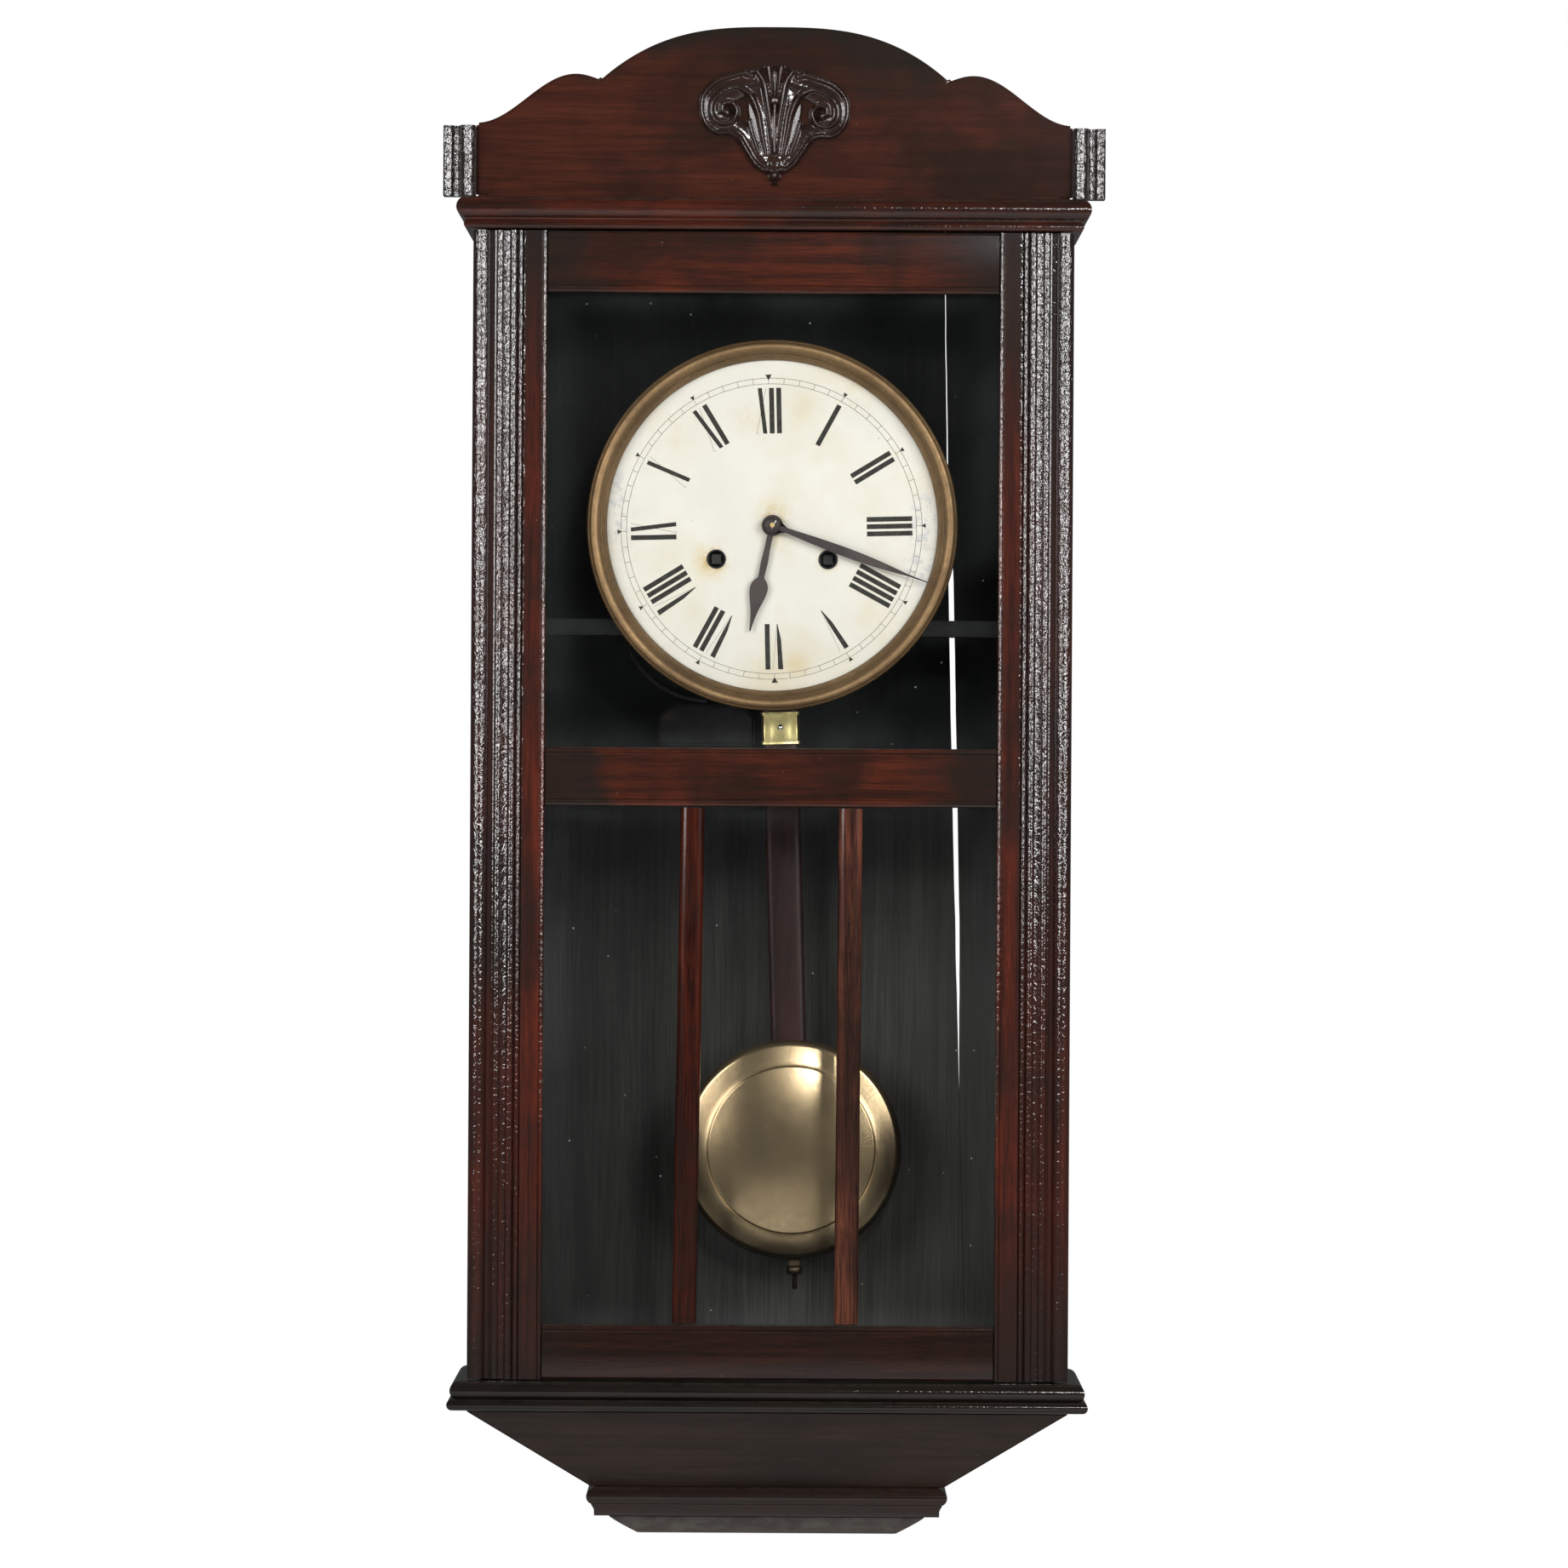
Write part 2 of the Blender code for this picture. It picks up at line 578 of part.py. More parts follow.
def hands():
    centre = empty("hands_axis", 0.0, 0.0, 0.0)
    spade = [(8.0, 1.5), (18.0, 2.0), (27.4, 1.7), (30.2, 3.3), (32.2, 4.8), (34.6, 5.5), (37.6, 5.0),
             (42.0, 3.7), (48.0, 1.9), (57.4, 0.35)]
    leaf = [(8.0, 1.6), (20.0, 2.4), (38.0, 3.15), (56.0, 2.6), (72.0, 1.2), (80.0, 0.55), (88.5, 0.25)]
    hour = prism(hand_outline(spade, 5.6), "Y", -108.4, -107.2)
    hour = cut(hour, rod_y(0.0, 0.0, 3.4, -109.0, -106.0, 12))
    part("hour_hand", hour, bronze(), lean=HOUR_ANGLE, parent=centre)
    minute = prism(hand_outline(leaf, 4.6), "Y", -111.4, -110.2)
    minute = cut(minute, rod_y(0.0, 0.0, 1.7, -112.0, -109.0, 8))
    part("minute_hand", minute, bronze(), lean=MINUTE_ANGLE, parent=centre)


# ---------------------------------------------------------------- pendulum

def pendulum():
    """Rod, ferrule, bob and rating nut, hanging from the pivot at a small lean."""
    pivot = empty("pendulum_axis", 0.0, PENDULUM_Y, PIVOT_Z, -PENDULUM_LEAN)
    rod_half, rod_thick = 9.5, 4.0
    section = [(-rod_half, rod_thick), (-rod_half, -2.6), (-5.0, -rod_thick), (5.0, -rod_thick),
               (rod_half, -2.6), (rod_half, rod_thick)]
    rod = prism(section, "Z", -431.0, -14.0)
    rod = cut(rod, block((-2.0, 2.0), (-6.0, 6.0), (-54.0, -38.0)))
    spring = block((-4.0, 4.0), (-0.4, 0.4), (-16.0, -0.6))
    stem = rod_z(0.0, 0.0, 1.5, -459.0, -430.0)
    part("pendulum_rod", union(rod, spring, stem), mahogany(), parent=pivot)
    sleeve = block((-10.3, 10.3), (-5.4, 4.9), (-166.2, -148.6))
    sleeve = cut(sleeve, block((-9.8, 9.8), (-4.4, 4.4), (-170.0, -140.0)))
    part("rod_ferrule", sleeve, brass(), parent=pivot)
    dome = [(0.0, -18.5), (22.0, -17.2), (44.0, -13.4), (45.4, -12.6), (46.8, -12.9), (55.5, -9.8),
            (58.6, -7.8), (BOB_RADIUS, -6.4), (58.4, -4.6), (0.0, -4.6)]
    disc = lathe(dome, 36, (0.0, -BOB_DROP))
    lug_low = -BOB_DROP - BOB_RADIUS - 3.4
    lug = block((-2.9, 2.9), (-6.5, 4.0), (lug_low, -436.0))
    disc = union(disc, lug)
    disc = cut(disc, rod_z(0.0, 0.0, 1.9, -460.0, -430.0))
    part("pendulum_bob", disc, brass(), parent=pivot)
    nut = rod_z(0.0, 0.0, 4.2, lug_low - 4.6, lug_low - GAP, 12)
    part("rating_nut", cut(nut, rod_z(0.0, 0.0, 1.9, -470.0, -430.0)), brass(), parent=pivot)


# ---------------------------------------------------------------- case

def sweep_front(profile, half, front):
    """Carries a (projection, z) profile round the left, front and right of the case, mitred."""
    loops = []
    for out, z in profile:
        left, face = -half - out, front - out
        loops.append([(left, 0.0, z), (left, face, z), (-left, face, z), (-left, 0.0, z)])
    rings = [[loop[i] for loop in loops] for i in range(4)]
    return bridge(bmesh.new(), rings)


def slab(rings):
    """A stack of rectangles from the wall forward, given as (half width, depth, z)."""
    loops = []
    for half, depth, z in rings:
        loops.append([(-half, 0.0, z), (half, 0.0, z), (half, -depth, z), (-half, -depth, z)])
    return bridge(bmesh.new(), loops)


def crack_edge(z):
    """The x of the wide back board's edge, which wanders where the board has shrunk."""
    return 92.6 + 10.1 * (119.7 - z) / 422.0 - 0.9 * math.sin(math.pi * (z + 303.0) / 423.0)


def crack_width(z):
    """The open joint between the back boards: widest behind the dial, closed low down."""
    closed = -303.0
    if z <= closed:
        return GAP
    return GAP + 3.1 * math.sin(math.pi * (0.12 + 0.76 * (z - closed) / (CASE_TOP - closed)))


def back_boards():
    heights = [CASE_BOTTOM, -303.0, -260.0, -210.0, -155.0, -100.0, -40.0, 20.0, 80.0, CASE_TOP]
    half = CASE_HALF - BOARD - GAP
    edge = [(crack_edge(z), z) for z in heights]
    wide = prism([(-half, CASE_TOP), (-half, CASE_BOTTOM)] + edge, "Y", -BACK_BOARD, 0.0)
    wide = cut(wide, block((-30.3, 30.3), (-2.6, 1.0), (104.7, 135.3)))
    wide = cut(wide, block((-7.0, 7.0), (-HOOK_POCKET, 1.0), (109.0, 132.0)))
    part("back_board_wide", wide, interior_wood())
    far_edge = [(crack_edge(z) + crack_width(z), z) for z in heights]
    narrow = prism(far_edge + [(half, CASE_TOP), (half, CASE_BOTTOM)], "Y", -BACK_BOARD, 0.0)
    part("back_board_narrow", narrow, interior_wood())


def hanger_plate():
    """A brass plate let into the back board, with a keyhole over a blind pocket for the wall hook."""
    plate = block((-30.0, 30.0), (-2.3, -GAP), (105.0, 135.0))
    head = rod_y(0.0, 116.0, 5.5, -4.0, 2.0, 12)
    neck = block((-2.6, 2.6), (-4.0, 2.0), (116.0, 128.0))
    part("hanger_plate", cut(plate, union(head, neck)), brass())


def case_boards():
    side_z = (CASE_BOTTOM, CASE_TOP)
    part("side_left", block((-CASE_HALF, -CASE_HALF + BOARD), (CASE_FRONT, 0.0), side_z), mahogany())
    right = block((CASE_HALF - BOARD, CASE_HALF), (CASE_FRONT, 0.0), side_z)
    for height in HINGE_HEIGHTS.values():
        leaf_z = (height - LEAF_HALF - GAP, height + LEAF_HALF + GAP)
        right = cut(right, block((144.0, 154.0), (CASE_FRONT - 1.0, CASE_FRONT + 1.5), leaf_z))
    part("side_right", right, mahogany())
    cover = block((-CASE_HALF, CASE_HALF), (HOOD_FRONT, 0.0), (CASE_TOP + GAP, CASE_TOP + GAP + BOARD))
    part("top_board", cover, mahogany())
    floor = block((-CASE_HALF, CASE_HALF), (HOOD_FRONT, 0.0), (BASE_BOTTOM + GAP, CASE_BOTTOM - GAP))
    part("bottom_board", floor, mahogany())
    seat_half = CASE_HALF - BOARD - GAP
    seat = block((-seat_half, seat_half), (-100.0, -57.0), (SEAT_LOW, SEAT_TOP))
    part("seat_board", seat, interior_wood())


def arc_points(centre, radius, start, end, steps):
    """(projection, z) points on an arc; 0 degrees points outward and 90 degrees up."""
    points = []
    for i in range(steps + 1):
        turn = math.radians(start + (end - start) * i / steps)
        points.append((centre[0] + radius * math.cos(turn), centre[1] + radius * math.sin(turn)))
    return points


def mouldings():
    inner = CASE_HALF + GAP
    front = HOOD_FRONT - GAP
    torus = arc_points((9.1, 166.0), 5.7, 70.0, -80.0, 5)
    cornice = [(0.0, CORNICE_TOP)] + torus + [(9.7, 159.4)] + arc_points((8.7, 157.0), 2.2, 40.0, -60.0, 2)
    cornice += [(8.3, CASE_TOP), (0.0, CASE_TOP)]
    part("cornice", sweep_front(cornice, inner, front), mahogany())
    low = CASE_BOTTOM - GAP
    torus = arc_points((9.7, low - 5.2), 5.0, 85.0, -60.0, 5)
    bead = arc_points((13.3, low - 12.6), 3.0, 60.0, -80.0, 3)
    base = [(0.0, low)] + torus + [(12.5, low - 10.0)] + bead + [(0.0, BASE_BOTTOM)]
    part("base_moulding", sweep_front(base, inner, front), mahogany())


def apron():
    """Three tapered boards under the case, joined at their mitres and open at the wall."""
    rings = []
    for half, depth, z in ((159.0, 148.0, BASE_BOTTOM - GAP), (94.0, 100.0, APRON_BOTTOM)):
        inside, inner_depth = half - BOARD, depth - BOARD
        rings.append([(-half, 0.0, z), (-half, -depth, z), (half, -depth, z), (half, 0.0, z),
                      (inside, 0.0, z), (inside, -inner_depth, z), (-inside, -inner_depth, z),
                      (-inside, 0.0, z)])
    part("apron", bridge(bmesh.new(), rings), mahogany())


def drop():
    top = APRON_BOTTOM - GAP
    profile = [(1.0, top), (3.6, top - 1.6), (4.8, top - 4.2), (4.8, top - 7.0), (3.4, top - 9.6),
               (1.6, top - 11.0), (0.8, top - 11.6), (0.6, DROP_BOTTOM)]
    rings = [(91.2 + out, 98.0 + out, z) for out, z in profile]
    part("drop_moulding", slab(rings), mahogany())
    low = [(84.5, 92.0, DROP_BOTTOM - GAP), (83.6, 91.0, DROP_BOTTOM - 1.6), (69.0, 78.0, CLOCK_BOTTOM)]
    part("drop_block", slab(low), mahogany())


def crest_half_outline():
    """The right half of the crest's top edge: a full arch, a notch, a small hump and an ogee."""
    arch_half, arch_rise, notch_z = 92.0, 28.4, 234.0
    points = []
    for i in range(11):
        x = arch_half * i / 10.0
        points.append((x, CREST_TOP - arch_rise * (i / 10.0) ** 2.9))
    hump_x, hump_z, end_x, end_z = 105.0, 237.2, CREST_BOARD_HALF, 211.0
    for i in range(1, 4):
        share = i / 3.0
        points.append((arch_half + (hump_x - arch_half) * share,
                       notch_z + (hump_z - notch_z) * math.sin(share * math.pi / 2.0)))
    for i in range(1, 8):
        share = i / 7.0
        fall = (1.0 - math.cos(math.pi * share)) / 2.0
        points.append((hump_x + (end_x - hump_x) * share, hump_z + (end_z - hump_z) * fall))
    return points


def crest():
    half = crest_half_outline()
    top = [(-x, z) for x, z in reversed(half[1:])] + half
    foot = CASE_TOP + BOARD + 2.0 * GAP
    shoulder = CORNICE_TOP + GAP
    right = [(CREST_BOARD_HALF, shoulder), (CASE_HALF, shoulder), (CASE_HALF, foot)]
    left = [(-x, z) for x, z in reversed(right)]
    board = prism(right + left + top, "Y", CREST_FRONT, CREST_FRONT + 14.0)
    part("crest_board", board, mahogany())
    width = CREST_HALF - CREST_BOARD_HALF - GAP
    turns = [math.pi * i / 5.0 for i in range(6)]
    bead = [(3.9 - 3.9 * math.cos(turn), 3.6 + 3.9 * math.sin(turn)) for turn in turns]
    moulded = bead + [(8.6, 0.2), (11.4, -0.8), (12.6, 2.0), (width - 0.6, 2.6), (width, 2.0)]
    plan = [(0.0, -14.0)] + moulded + [(width, -14.0)]
    for name, side in (("crest_block_left", -1.0), ("crest_block_right", 1.0)):
        outline = [(side * (CREST_BOARD_HALF + GAP + out), CREST_FRONT - proud) for out, proud in plan]
        part(name, prism(outline, "Z", CORNICE_TOP + GAP, 209.4), mahogany())


def crest_carving():
    """The outline of the applied leaf and scrolls: two volutes joined by a narrowing stem."""
    half = [(0.0, 242.2), (9.0, 241.0), (18.0, 239.4)]
    for i in range(7):
        turn = math.radians(70.0 - i * 40.0)
        half.append((27.0 + 13.0 * math.cos(turn), 226.0 + 12.6 * math.sin(turn)))
    half += [(13.5, 208.0), (11.0, 194.0), (5.0, 184.0), (4.0, 178.6)]
    outline = half + [(-x, z) for x, z in reversed(half[1:])]
    part("crest_carving", prism(outline, "Y", CREST_FRONT - 7.0, CREST_FRONT - GAP), mahogany())


# ---------------------------------------------------------------- door

def stile_front():
    """(distance from the outer edge, depth below the front) along the stile's moulded face."""
    turns = [math.pi * i / 6.0 for i in range(6)]
    face = [(4.5 - 4.5 * math.cos(turn), 4.6 - 4.6 * math.sin(turn)) for turn in turns]
    face += [(9.0, 3.4), (11.6, 3.4)]
    for start, width in ((12.4, 4.0), (19.6, 3.9), (24.1, 2.6)):
        face += [(start, 2.8), (start + width * 0.3, 1.0), (start + width * 0.7, 1.0), (start + width, 2.8)]
    face += [(27.0, 1.2), (36.8, 1.2), (37.6, 0.6), (38.6, 0.8), (DOOR_HALF - OPENING_HALF, 2.6)]
    return face


def stile(name, side):
    width = DOOR_HALF - OPENING_HALF
    outline = [(u, DOOR_FRONT + depth) for u, depth in stile_front()]
    outline += [(width, REBATE_FACE), (width - REBATE, REBATE_FACE)]
    outline += [(width - REBATE, DOOR_BACK), (0.0, DOOR_BACK)]
    outline = [(side * (DOOR_HALF - u), y) for u, y in outline]
    shape = prism(outline, "Z", DOOR_BOTTOM, DOOR_TOP)
    if side > 0.0:
        for height in HINGE_HEIGHTS.values():
            leaf_z = (height - LEAF_HALF - GAP, height + LEAF_HALF + GAP)
            shape = cut(shape, block((145.8, 157.1), (DOOR_BACK - 1.5, DOOR_BACK + 1.0), leaf_z))
    return part(name, shape, mahogany())


def rail(name, low, high, rebate_low, rebate_high):
    """A rail between the stiles. Behind the glass line it is lower, and reaches into the rebates."""
    half = OPENING_HALF - GAP
    back_half = half + REBATE
    face = block((-half, half), (RAIL_FRONT, REBATE_FACE), (low, high))
    back = block((-back_half, back_half), (REBATE_FACE + GAP, DOOR_BACK), (rebate_low, rebate_high))
    tongue = block((-half + 1.0, half - 1.0), (REBATE_FACE - 1.0, DOOR_BACK - 1.0),
                   (rebate_low + 0.5, rebate_high - 0.5))
    part(name, union(face, tongue, back), mahogany())


def door():
    stile("door_stile_left", -1.0)
    stile("door_stile_right", 1.0)
    rail("door_top_rail", TOP_RAIL_LOW, DOOR_TOP, TOP_RAIL_LOW + REBATE, DOOR_TOP)
    rail("door_middle_rail", MIDDLE_RAIL_LOW, MIDDLE_RAIL_TOP, MIDDLE_RAIL_LOW + REBATE,
         MIDDLE_RAIL_TOP - REBATE)
    rail("door_bottom_rail", DOOR_BOTTOM, BOTTOM_RAIL_TOP, DOOR_BOTTOM, BOTTOM_RAIL_TOP - REBATE)
    glass_half = OPENING_HALF + REBATE - 2.0 * GAP
    glass_y = (REBATE_FACE + GAP, REBATE_FACE + GAP + GLASS)
    margin = REBATE - 2.0 * GAP
    upper = (MIDDLE_RAIL_TOP - margin, TOP_RAIL_LOW + margin)
    lower = (BOTTOM_RAIL_TOP - margin, MIDDLE_RAIL_LOW + margin)
    part("upper_glass", block((-glass_half, glass_half), glass_y, upper), glass())
    part("lower_glass", block((-glass_half, glass_half), glass_y, lower), glass())
    bar_half = 6.3
    bar_z = (BOTTOM_RAIL_TOP - MIDDLE_RAIL_LOW) / 2.0 + 0.6
    section = [(-bar_half, REBATE_FACE - GAP), (-bar_half, -144.2), (-4.6, -145.9), (4.6, -145.9),
               (bar_half, -144.2), (bar_half, REBATE_FACE - GAP)]
    middle = (BOTTOM_RAIL_TOP + MIDDLE_RAIL_LOW) / 2.0
    for name, x, lean in (("door_mullion_left", -42.6, 0.65), ("door_mullion_right", 41.8, 0.2)):
        part(name, prism(section, "Z", bar_z, -bar_z), mahogany(), place=(x, 0.0, middle), lean=lean)


def hinge_case_leaf(name, z):
    """The leaf let into the case, with its two knuckles and the pin."""
    shape = block((144.4, 152.6), (-127.9, -126.8), (z - LEAF_HALF, z + LEAF_HALF))
    shape = union(shape, rod_z(HINGE_X, HINGE_Y, 1.1, z - LEAF_HALF, z + LEAF_HALF))
    for low, high in ((-LEAF_HALF, -9.0), (9.0, LEAF_HALF)):
        knuckle = rod_z(HINGE_X, HINGE_Y, KNUCKLE, z + low, z + high, 10)
        neck = block((152.0, HINGE_X), (-127.9, -126.8), (z + low, z + high))
        shape = union(shape, union(neck, knuckle))
    part(name, shape, brass())


def hinge_door_leaf(name, z):
    """The leaf let into the door, with the middle knuckle."""
    shape = block((146.2, 156.8), (-129.8, -128.7), (z - LEAF_HALF, z + LEAF_HALF))
    neck = block((HINGE_X - 1.2, HINGE_X + 1.0), (-129.2, HINGE_Y - 1.8), (z - 8.7, z + 8.7))
    knuckle = rod_z(HINGE_X, HINGE_Y, KNUCKLE, z - 8.7, z + 8.7, 10)
    shape = union(shape, union(neck, knuckle))
    part(name, cut(shape, rod_z(HINGE_X, HINGE_Y, 1.5, z - 12.0, z + 12.0, 10)), brass())


def hinges():
    for level, z in HINGE_HEIGHTS.items():
        hinge_case_leaf(f"hinge_case_leaf_{level}", z)
        hinge_door_leaf(f"hinge_door_leaf_{level}", z)


def main():
    clear_scene()
    case_boards()
    back_boards()
    hanger_plate()
    mouldings()
    apron()
    drop()
    crest()
    crest_carving()
    door()
    hinges()
    plates()
    going_train()
    centre_arbor()
    motion_work()
    anchor_and_crutch()
    strike_train()
    hammer()
    gong()
    dial()
    hands()
    pendulum()


main()
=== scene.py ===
"""Looks of the hanging wall clock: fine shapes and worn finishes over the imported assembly.

Shapes are made in millimetres in the row frame: X right, Z up, the clock faces -Y and hangs on y = 0.
"""

import json
import math

import bmesh
import bpy
import numpy as np
from mathutils import Matrix, Vector, noise


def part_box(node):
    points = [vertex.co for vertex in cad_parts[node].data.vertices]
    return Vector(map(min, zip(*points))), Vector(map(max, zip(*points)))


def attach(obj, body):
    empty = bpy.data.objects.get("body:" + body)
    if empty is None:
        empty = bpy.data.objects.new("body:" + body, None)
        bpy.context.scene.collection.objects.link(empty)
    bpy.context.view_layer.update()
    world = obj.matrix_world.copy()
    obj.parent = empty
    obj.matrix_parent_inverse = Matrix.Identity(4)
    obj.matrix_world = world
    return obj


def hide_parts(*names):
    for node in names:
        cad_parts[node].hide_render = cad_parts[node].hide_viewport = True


MM = 0.001
FIT = 0.3  # the gap left round a part that is let into another

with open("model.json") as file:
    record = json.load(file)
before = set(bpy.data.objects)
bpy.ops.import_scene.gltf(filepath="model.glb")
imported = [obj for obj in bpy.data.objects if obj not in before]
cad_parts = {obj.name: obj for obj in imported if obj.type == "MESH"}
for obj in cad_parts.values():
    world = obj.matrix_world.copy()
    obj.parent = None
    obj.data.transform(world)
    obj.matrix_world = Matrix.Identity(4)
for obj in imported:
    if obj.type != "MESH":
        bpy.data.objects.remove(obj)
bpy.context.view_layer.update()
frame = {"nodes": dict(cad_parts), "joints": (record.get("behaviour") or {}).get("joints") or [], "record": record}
joints = {joint["name"]: joint for joint in frame["joints"]}
WINDING_X = joints["going_winding"]["pos_m"][0] / MM
WINDING_Z = joints["going_winding"]["pos_m"][2] / MM


# ---------------------------------------------------------------- shapes

class Box:
    """The corners of a CAD node in millimetres."""

    def __init__(self, node):
        low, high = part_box(node)
        self.x0, self.y0, self.z0 = (value / MM for value in low)
        self.x1, self.y1, self.z1 = (value / MM for value in high)
        self.xm, self.ym, self.zm = ((low + high) / 2.0 / MM)

    def board(self, edge):
        """The whole box as a board with softened edges."""
        return board((self.x0, self.x1), (self.y0, self.y1), (self.z0, self.z1), edge)

    def pocket(self, y):
        """The recess that takes this part, between two depths."""
        return board((self.x0 - FIT, self.x1 + FIT), y, (self.z0 - FIT, self.z1 + FIT), 0.05)


def bridge(loops, closed_stack=False):
    """Joins rings of equal length with quads, and caps the ends unless the stack is closed."""
    bm = bmesh.new()
    rings = [[bm.verts.new(co) for co in loop] for loop in loops]
    count = len(rings[0])
    pairs = list(zip(rings, rings[1:]))
    if closed_stack:
        pairs.append((rings[-1], rings[0]))
    for lower, upper in pairs:
        for i in range(count):
            j = (i + 1) % count
            bm.faces.new((lower[i], lower[j], upper[j], upper[i]))
    if not closed_stack:
        bm.faces.new(list(reversed(rings[0])))
        bm.faces.new(rings[-1])
    return bm


def spot_on(axis, a, b, along):
    """A point at a distance along an axis, with its other two coordinates in order."""
    return {"X": (along, a, b), "Y": (a, along, b), "Z": (a, b, along)}[axis]


def prism(outline, axis, start, end):
    """Extrudes an outline along an axis. It is (x, z) for Y, (y, z) for X and (x, y) for Z."""
    return bridge([[spot_on(axis, a, b, along) for a, b in outline] for along in (start, end)])


def board(x, y, z, edge=0.6):
    """A board with softened edges, from three ranges."""
    outline = [(x[0], z[0]), (x[1], z[0]), (x[1], z[1]), (x[0], z[1])]
    return soften(prism(outline, "Y", *y), edge)


def soften(bm, width, segments=2, angle=30.0):
    """Rounds every edge sharper than an angle."""
    bmesh.ops.recalc_face_normals(bm, faces=bm.faces)
    limit = math.radians(angle)
    edges = [e for e in bm.edges if len(e.link_faces) == 2 and e.calc_face_angle(0.0) > limit]
    bmesh.ops.bevel(bm, geom=edges, offset=width, segments=segments, affect="EDGES", clamp_overlap=True)
    return bm


def turned(profile, axis="Y", centre=(0.0, 0.0, 0.0), segments=48, wave=None):
    """Turns (radius, distance) points about an axis through a centre. An open profile is capped."""
    loops = []
    for radius, along in profile:
        loop = []
        for i in range(segments):
            turn = math.tau * i / segments
            reach = max(radius, 0.01) * (wave(turn, along) if wave else 1.0)
            a, b = reach * math.cos(turn), reach * math.sin(turn)
            loop.append(Vector(spot_on(axis, a, b, along)) + Vector(centre))
        loops.append(loop)
    closed = profile[0] == profile[-1]
    if closed:
        loops = loops[:-1]
    return bridge(loops, closed_stack=closed)


def plug(radius, start, end, axis="Y", centre=(0.0, 0.0, 0.0), segments=24):
    """A plain cylinder between two distances along an axis."""
    return turned([(0.0, start), (radius, start), (radius, end), (0.0, end)], axis, centre, segments)


def merged(*parts):
    """Several bmeshes as one, without joining their surfaces."""
    whole = bmesh.new()
    for bm in parts:
        mesh = bpy.data.meshes.new("loose")
        bm.to_mesh(mesh)
        bm.free()
        whole.from_mesh(mesh)
        bpy.data.meshes.remove(mesh)
    return whole


def moved(bm, matrix):
    """The same shape after a transform."""
    bmesh.ops.transform(bm, matrix=matrix, verts=bm.verts)
    return bm


def cut(base, *tools):
    """Takes tools out of a base with Blender's exact solver."""
    for tool in tools:
        objects = []
        for bm in (base, tool):
            bmesh.ops.recalc_face_normals(bm, faces=bm.faces)
            mesh = bpy.data.meshes.new("operand")
            bm.to_mesh(mesh)
            bm.free()
            obj = bpy.data.objects.new("operand", mesh)
            bpy.context.collection.objects.link(obj)
            objects.append(obj)
        modifier = objects[0].modifiers.new("cut", "BOOLEAN")
        modifier.solver = "EXACT"
        modifier.operation = "DIFFERENCE"
        modifier.object = objects[1]
        shape = objects[0].evaluated_get(bpy.context.evaluated_depsgraph_get()).to_mesh()
        base = bmesh.new()
        base.from_mesh(shape)
        for obj in objects:
            bpy.data.meshes.remove(obj.data)
    return base


def polar(radius, degrees):
    """A point in the (x, z) plane, with 0 degrees at the top and clockwise as the front shows it."""
    angle = math.radians(degrees)
    return (radius * math.sin(angle), radius * math.cos(angle))


def smooth_path(points, steps=8):
    """Points along a Catmull-Rom curve through the given ones."""
    points = [Vector(p) for p in points]
    points = [points[0] * 2.0 - points[1]] + points + [points[-1] * 2.0 - points[-2]]
    path = []
    for a, b, c, d in zip(points, points[1:], points[2:], points[3:]):
        for i in range(steps):
            t = i / steps
            path.append((2.0 * b + (c - a) * t + (2.0 * a - 5.0 * b + 4.0 * c - d) * t * t
                         + (3.0 * b - a - 3.0 * c + d) * t ** 3) / 2.0)
    path.append(points[-2])
    return path


def tube(path, radius, sides):
    """A round bar along a path in a plane of constant y. radius is a function of the share of the way."""
    loops = []
    last = len(path) - 1
    for i, spot in enumerate(path):
        run = (path[min(i + 1, last)] - path[max(i - 1, 0)]).normalized()
        side = Vector((run.z, 0.0, -run.x)).normalized()
        reach = radius(i / last)
        loops.append([spot + side * reach * math.cos(math.tau * k / sides)
                      + Vector((0.0, 1.0, 0.0)) * reach * math.sin(math.tau * k / sides)
                      for k in range(sides)])
    return bridge(loops)


def arc(centre, radius, start, end, steps):
    """Points on an arc in a plane; 0 degrees is the first axis and 90 degrees the second."""
    turns = [math.radians(start + (end - start) * i / steps) for i in range(steps + 1)]
    return [(centre[0] + radius * math.cos(t), centre[1] + radius * math.sin(t)) for t in turns]


def swell(start, width, low, high, steps=10):
    """A reed across a moulded face, as (distance, depth) points."""
    turns = [math.pi * i / steps for i in range(steps + 1)]
    return [(start + width * (1.0 - math.cos(t)) / 2.0, low - (low - high) * math.sin(t)) for t in turns]


def screw(x, z, y, radius, turn=20.0, proud=0.7):
    """A slotted screw head on a face that looks along -Y."""
    halves = []
    for side in (0.0, 180.0):
        outline = arc((0.0, 0.0), radius, 10.0, 170.0, 14)
        half = soften(prism(outline, "Y", -proud, 0.0), 0.25)
        halves.append(moved(half, Matrix.Rotation(math.radians(turn + side), 4, "Y")))
    disc = plug(radius * 0.9, -proud * 0.45, 0.0)
    return moved(merged(disc, *halves), Matrix.Translation((x, y, z)))


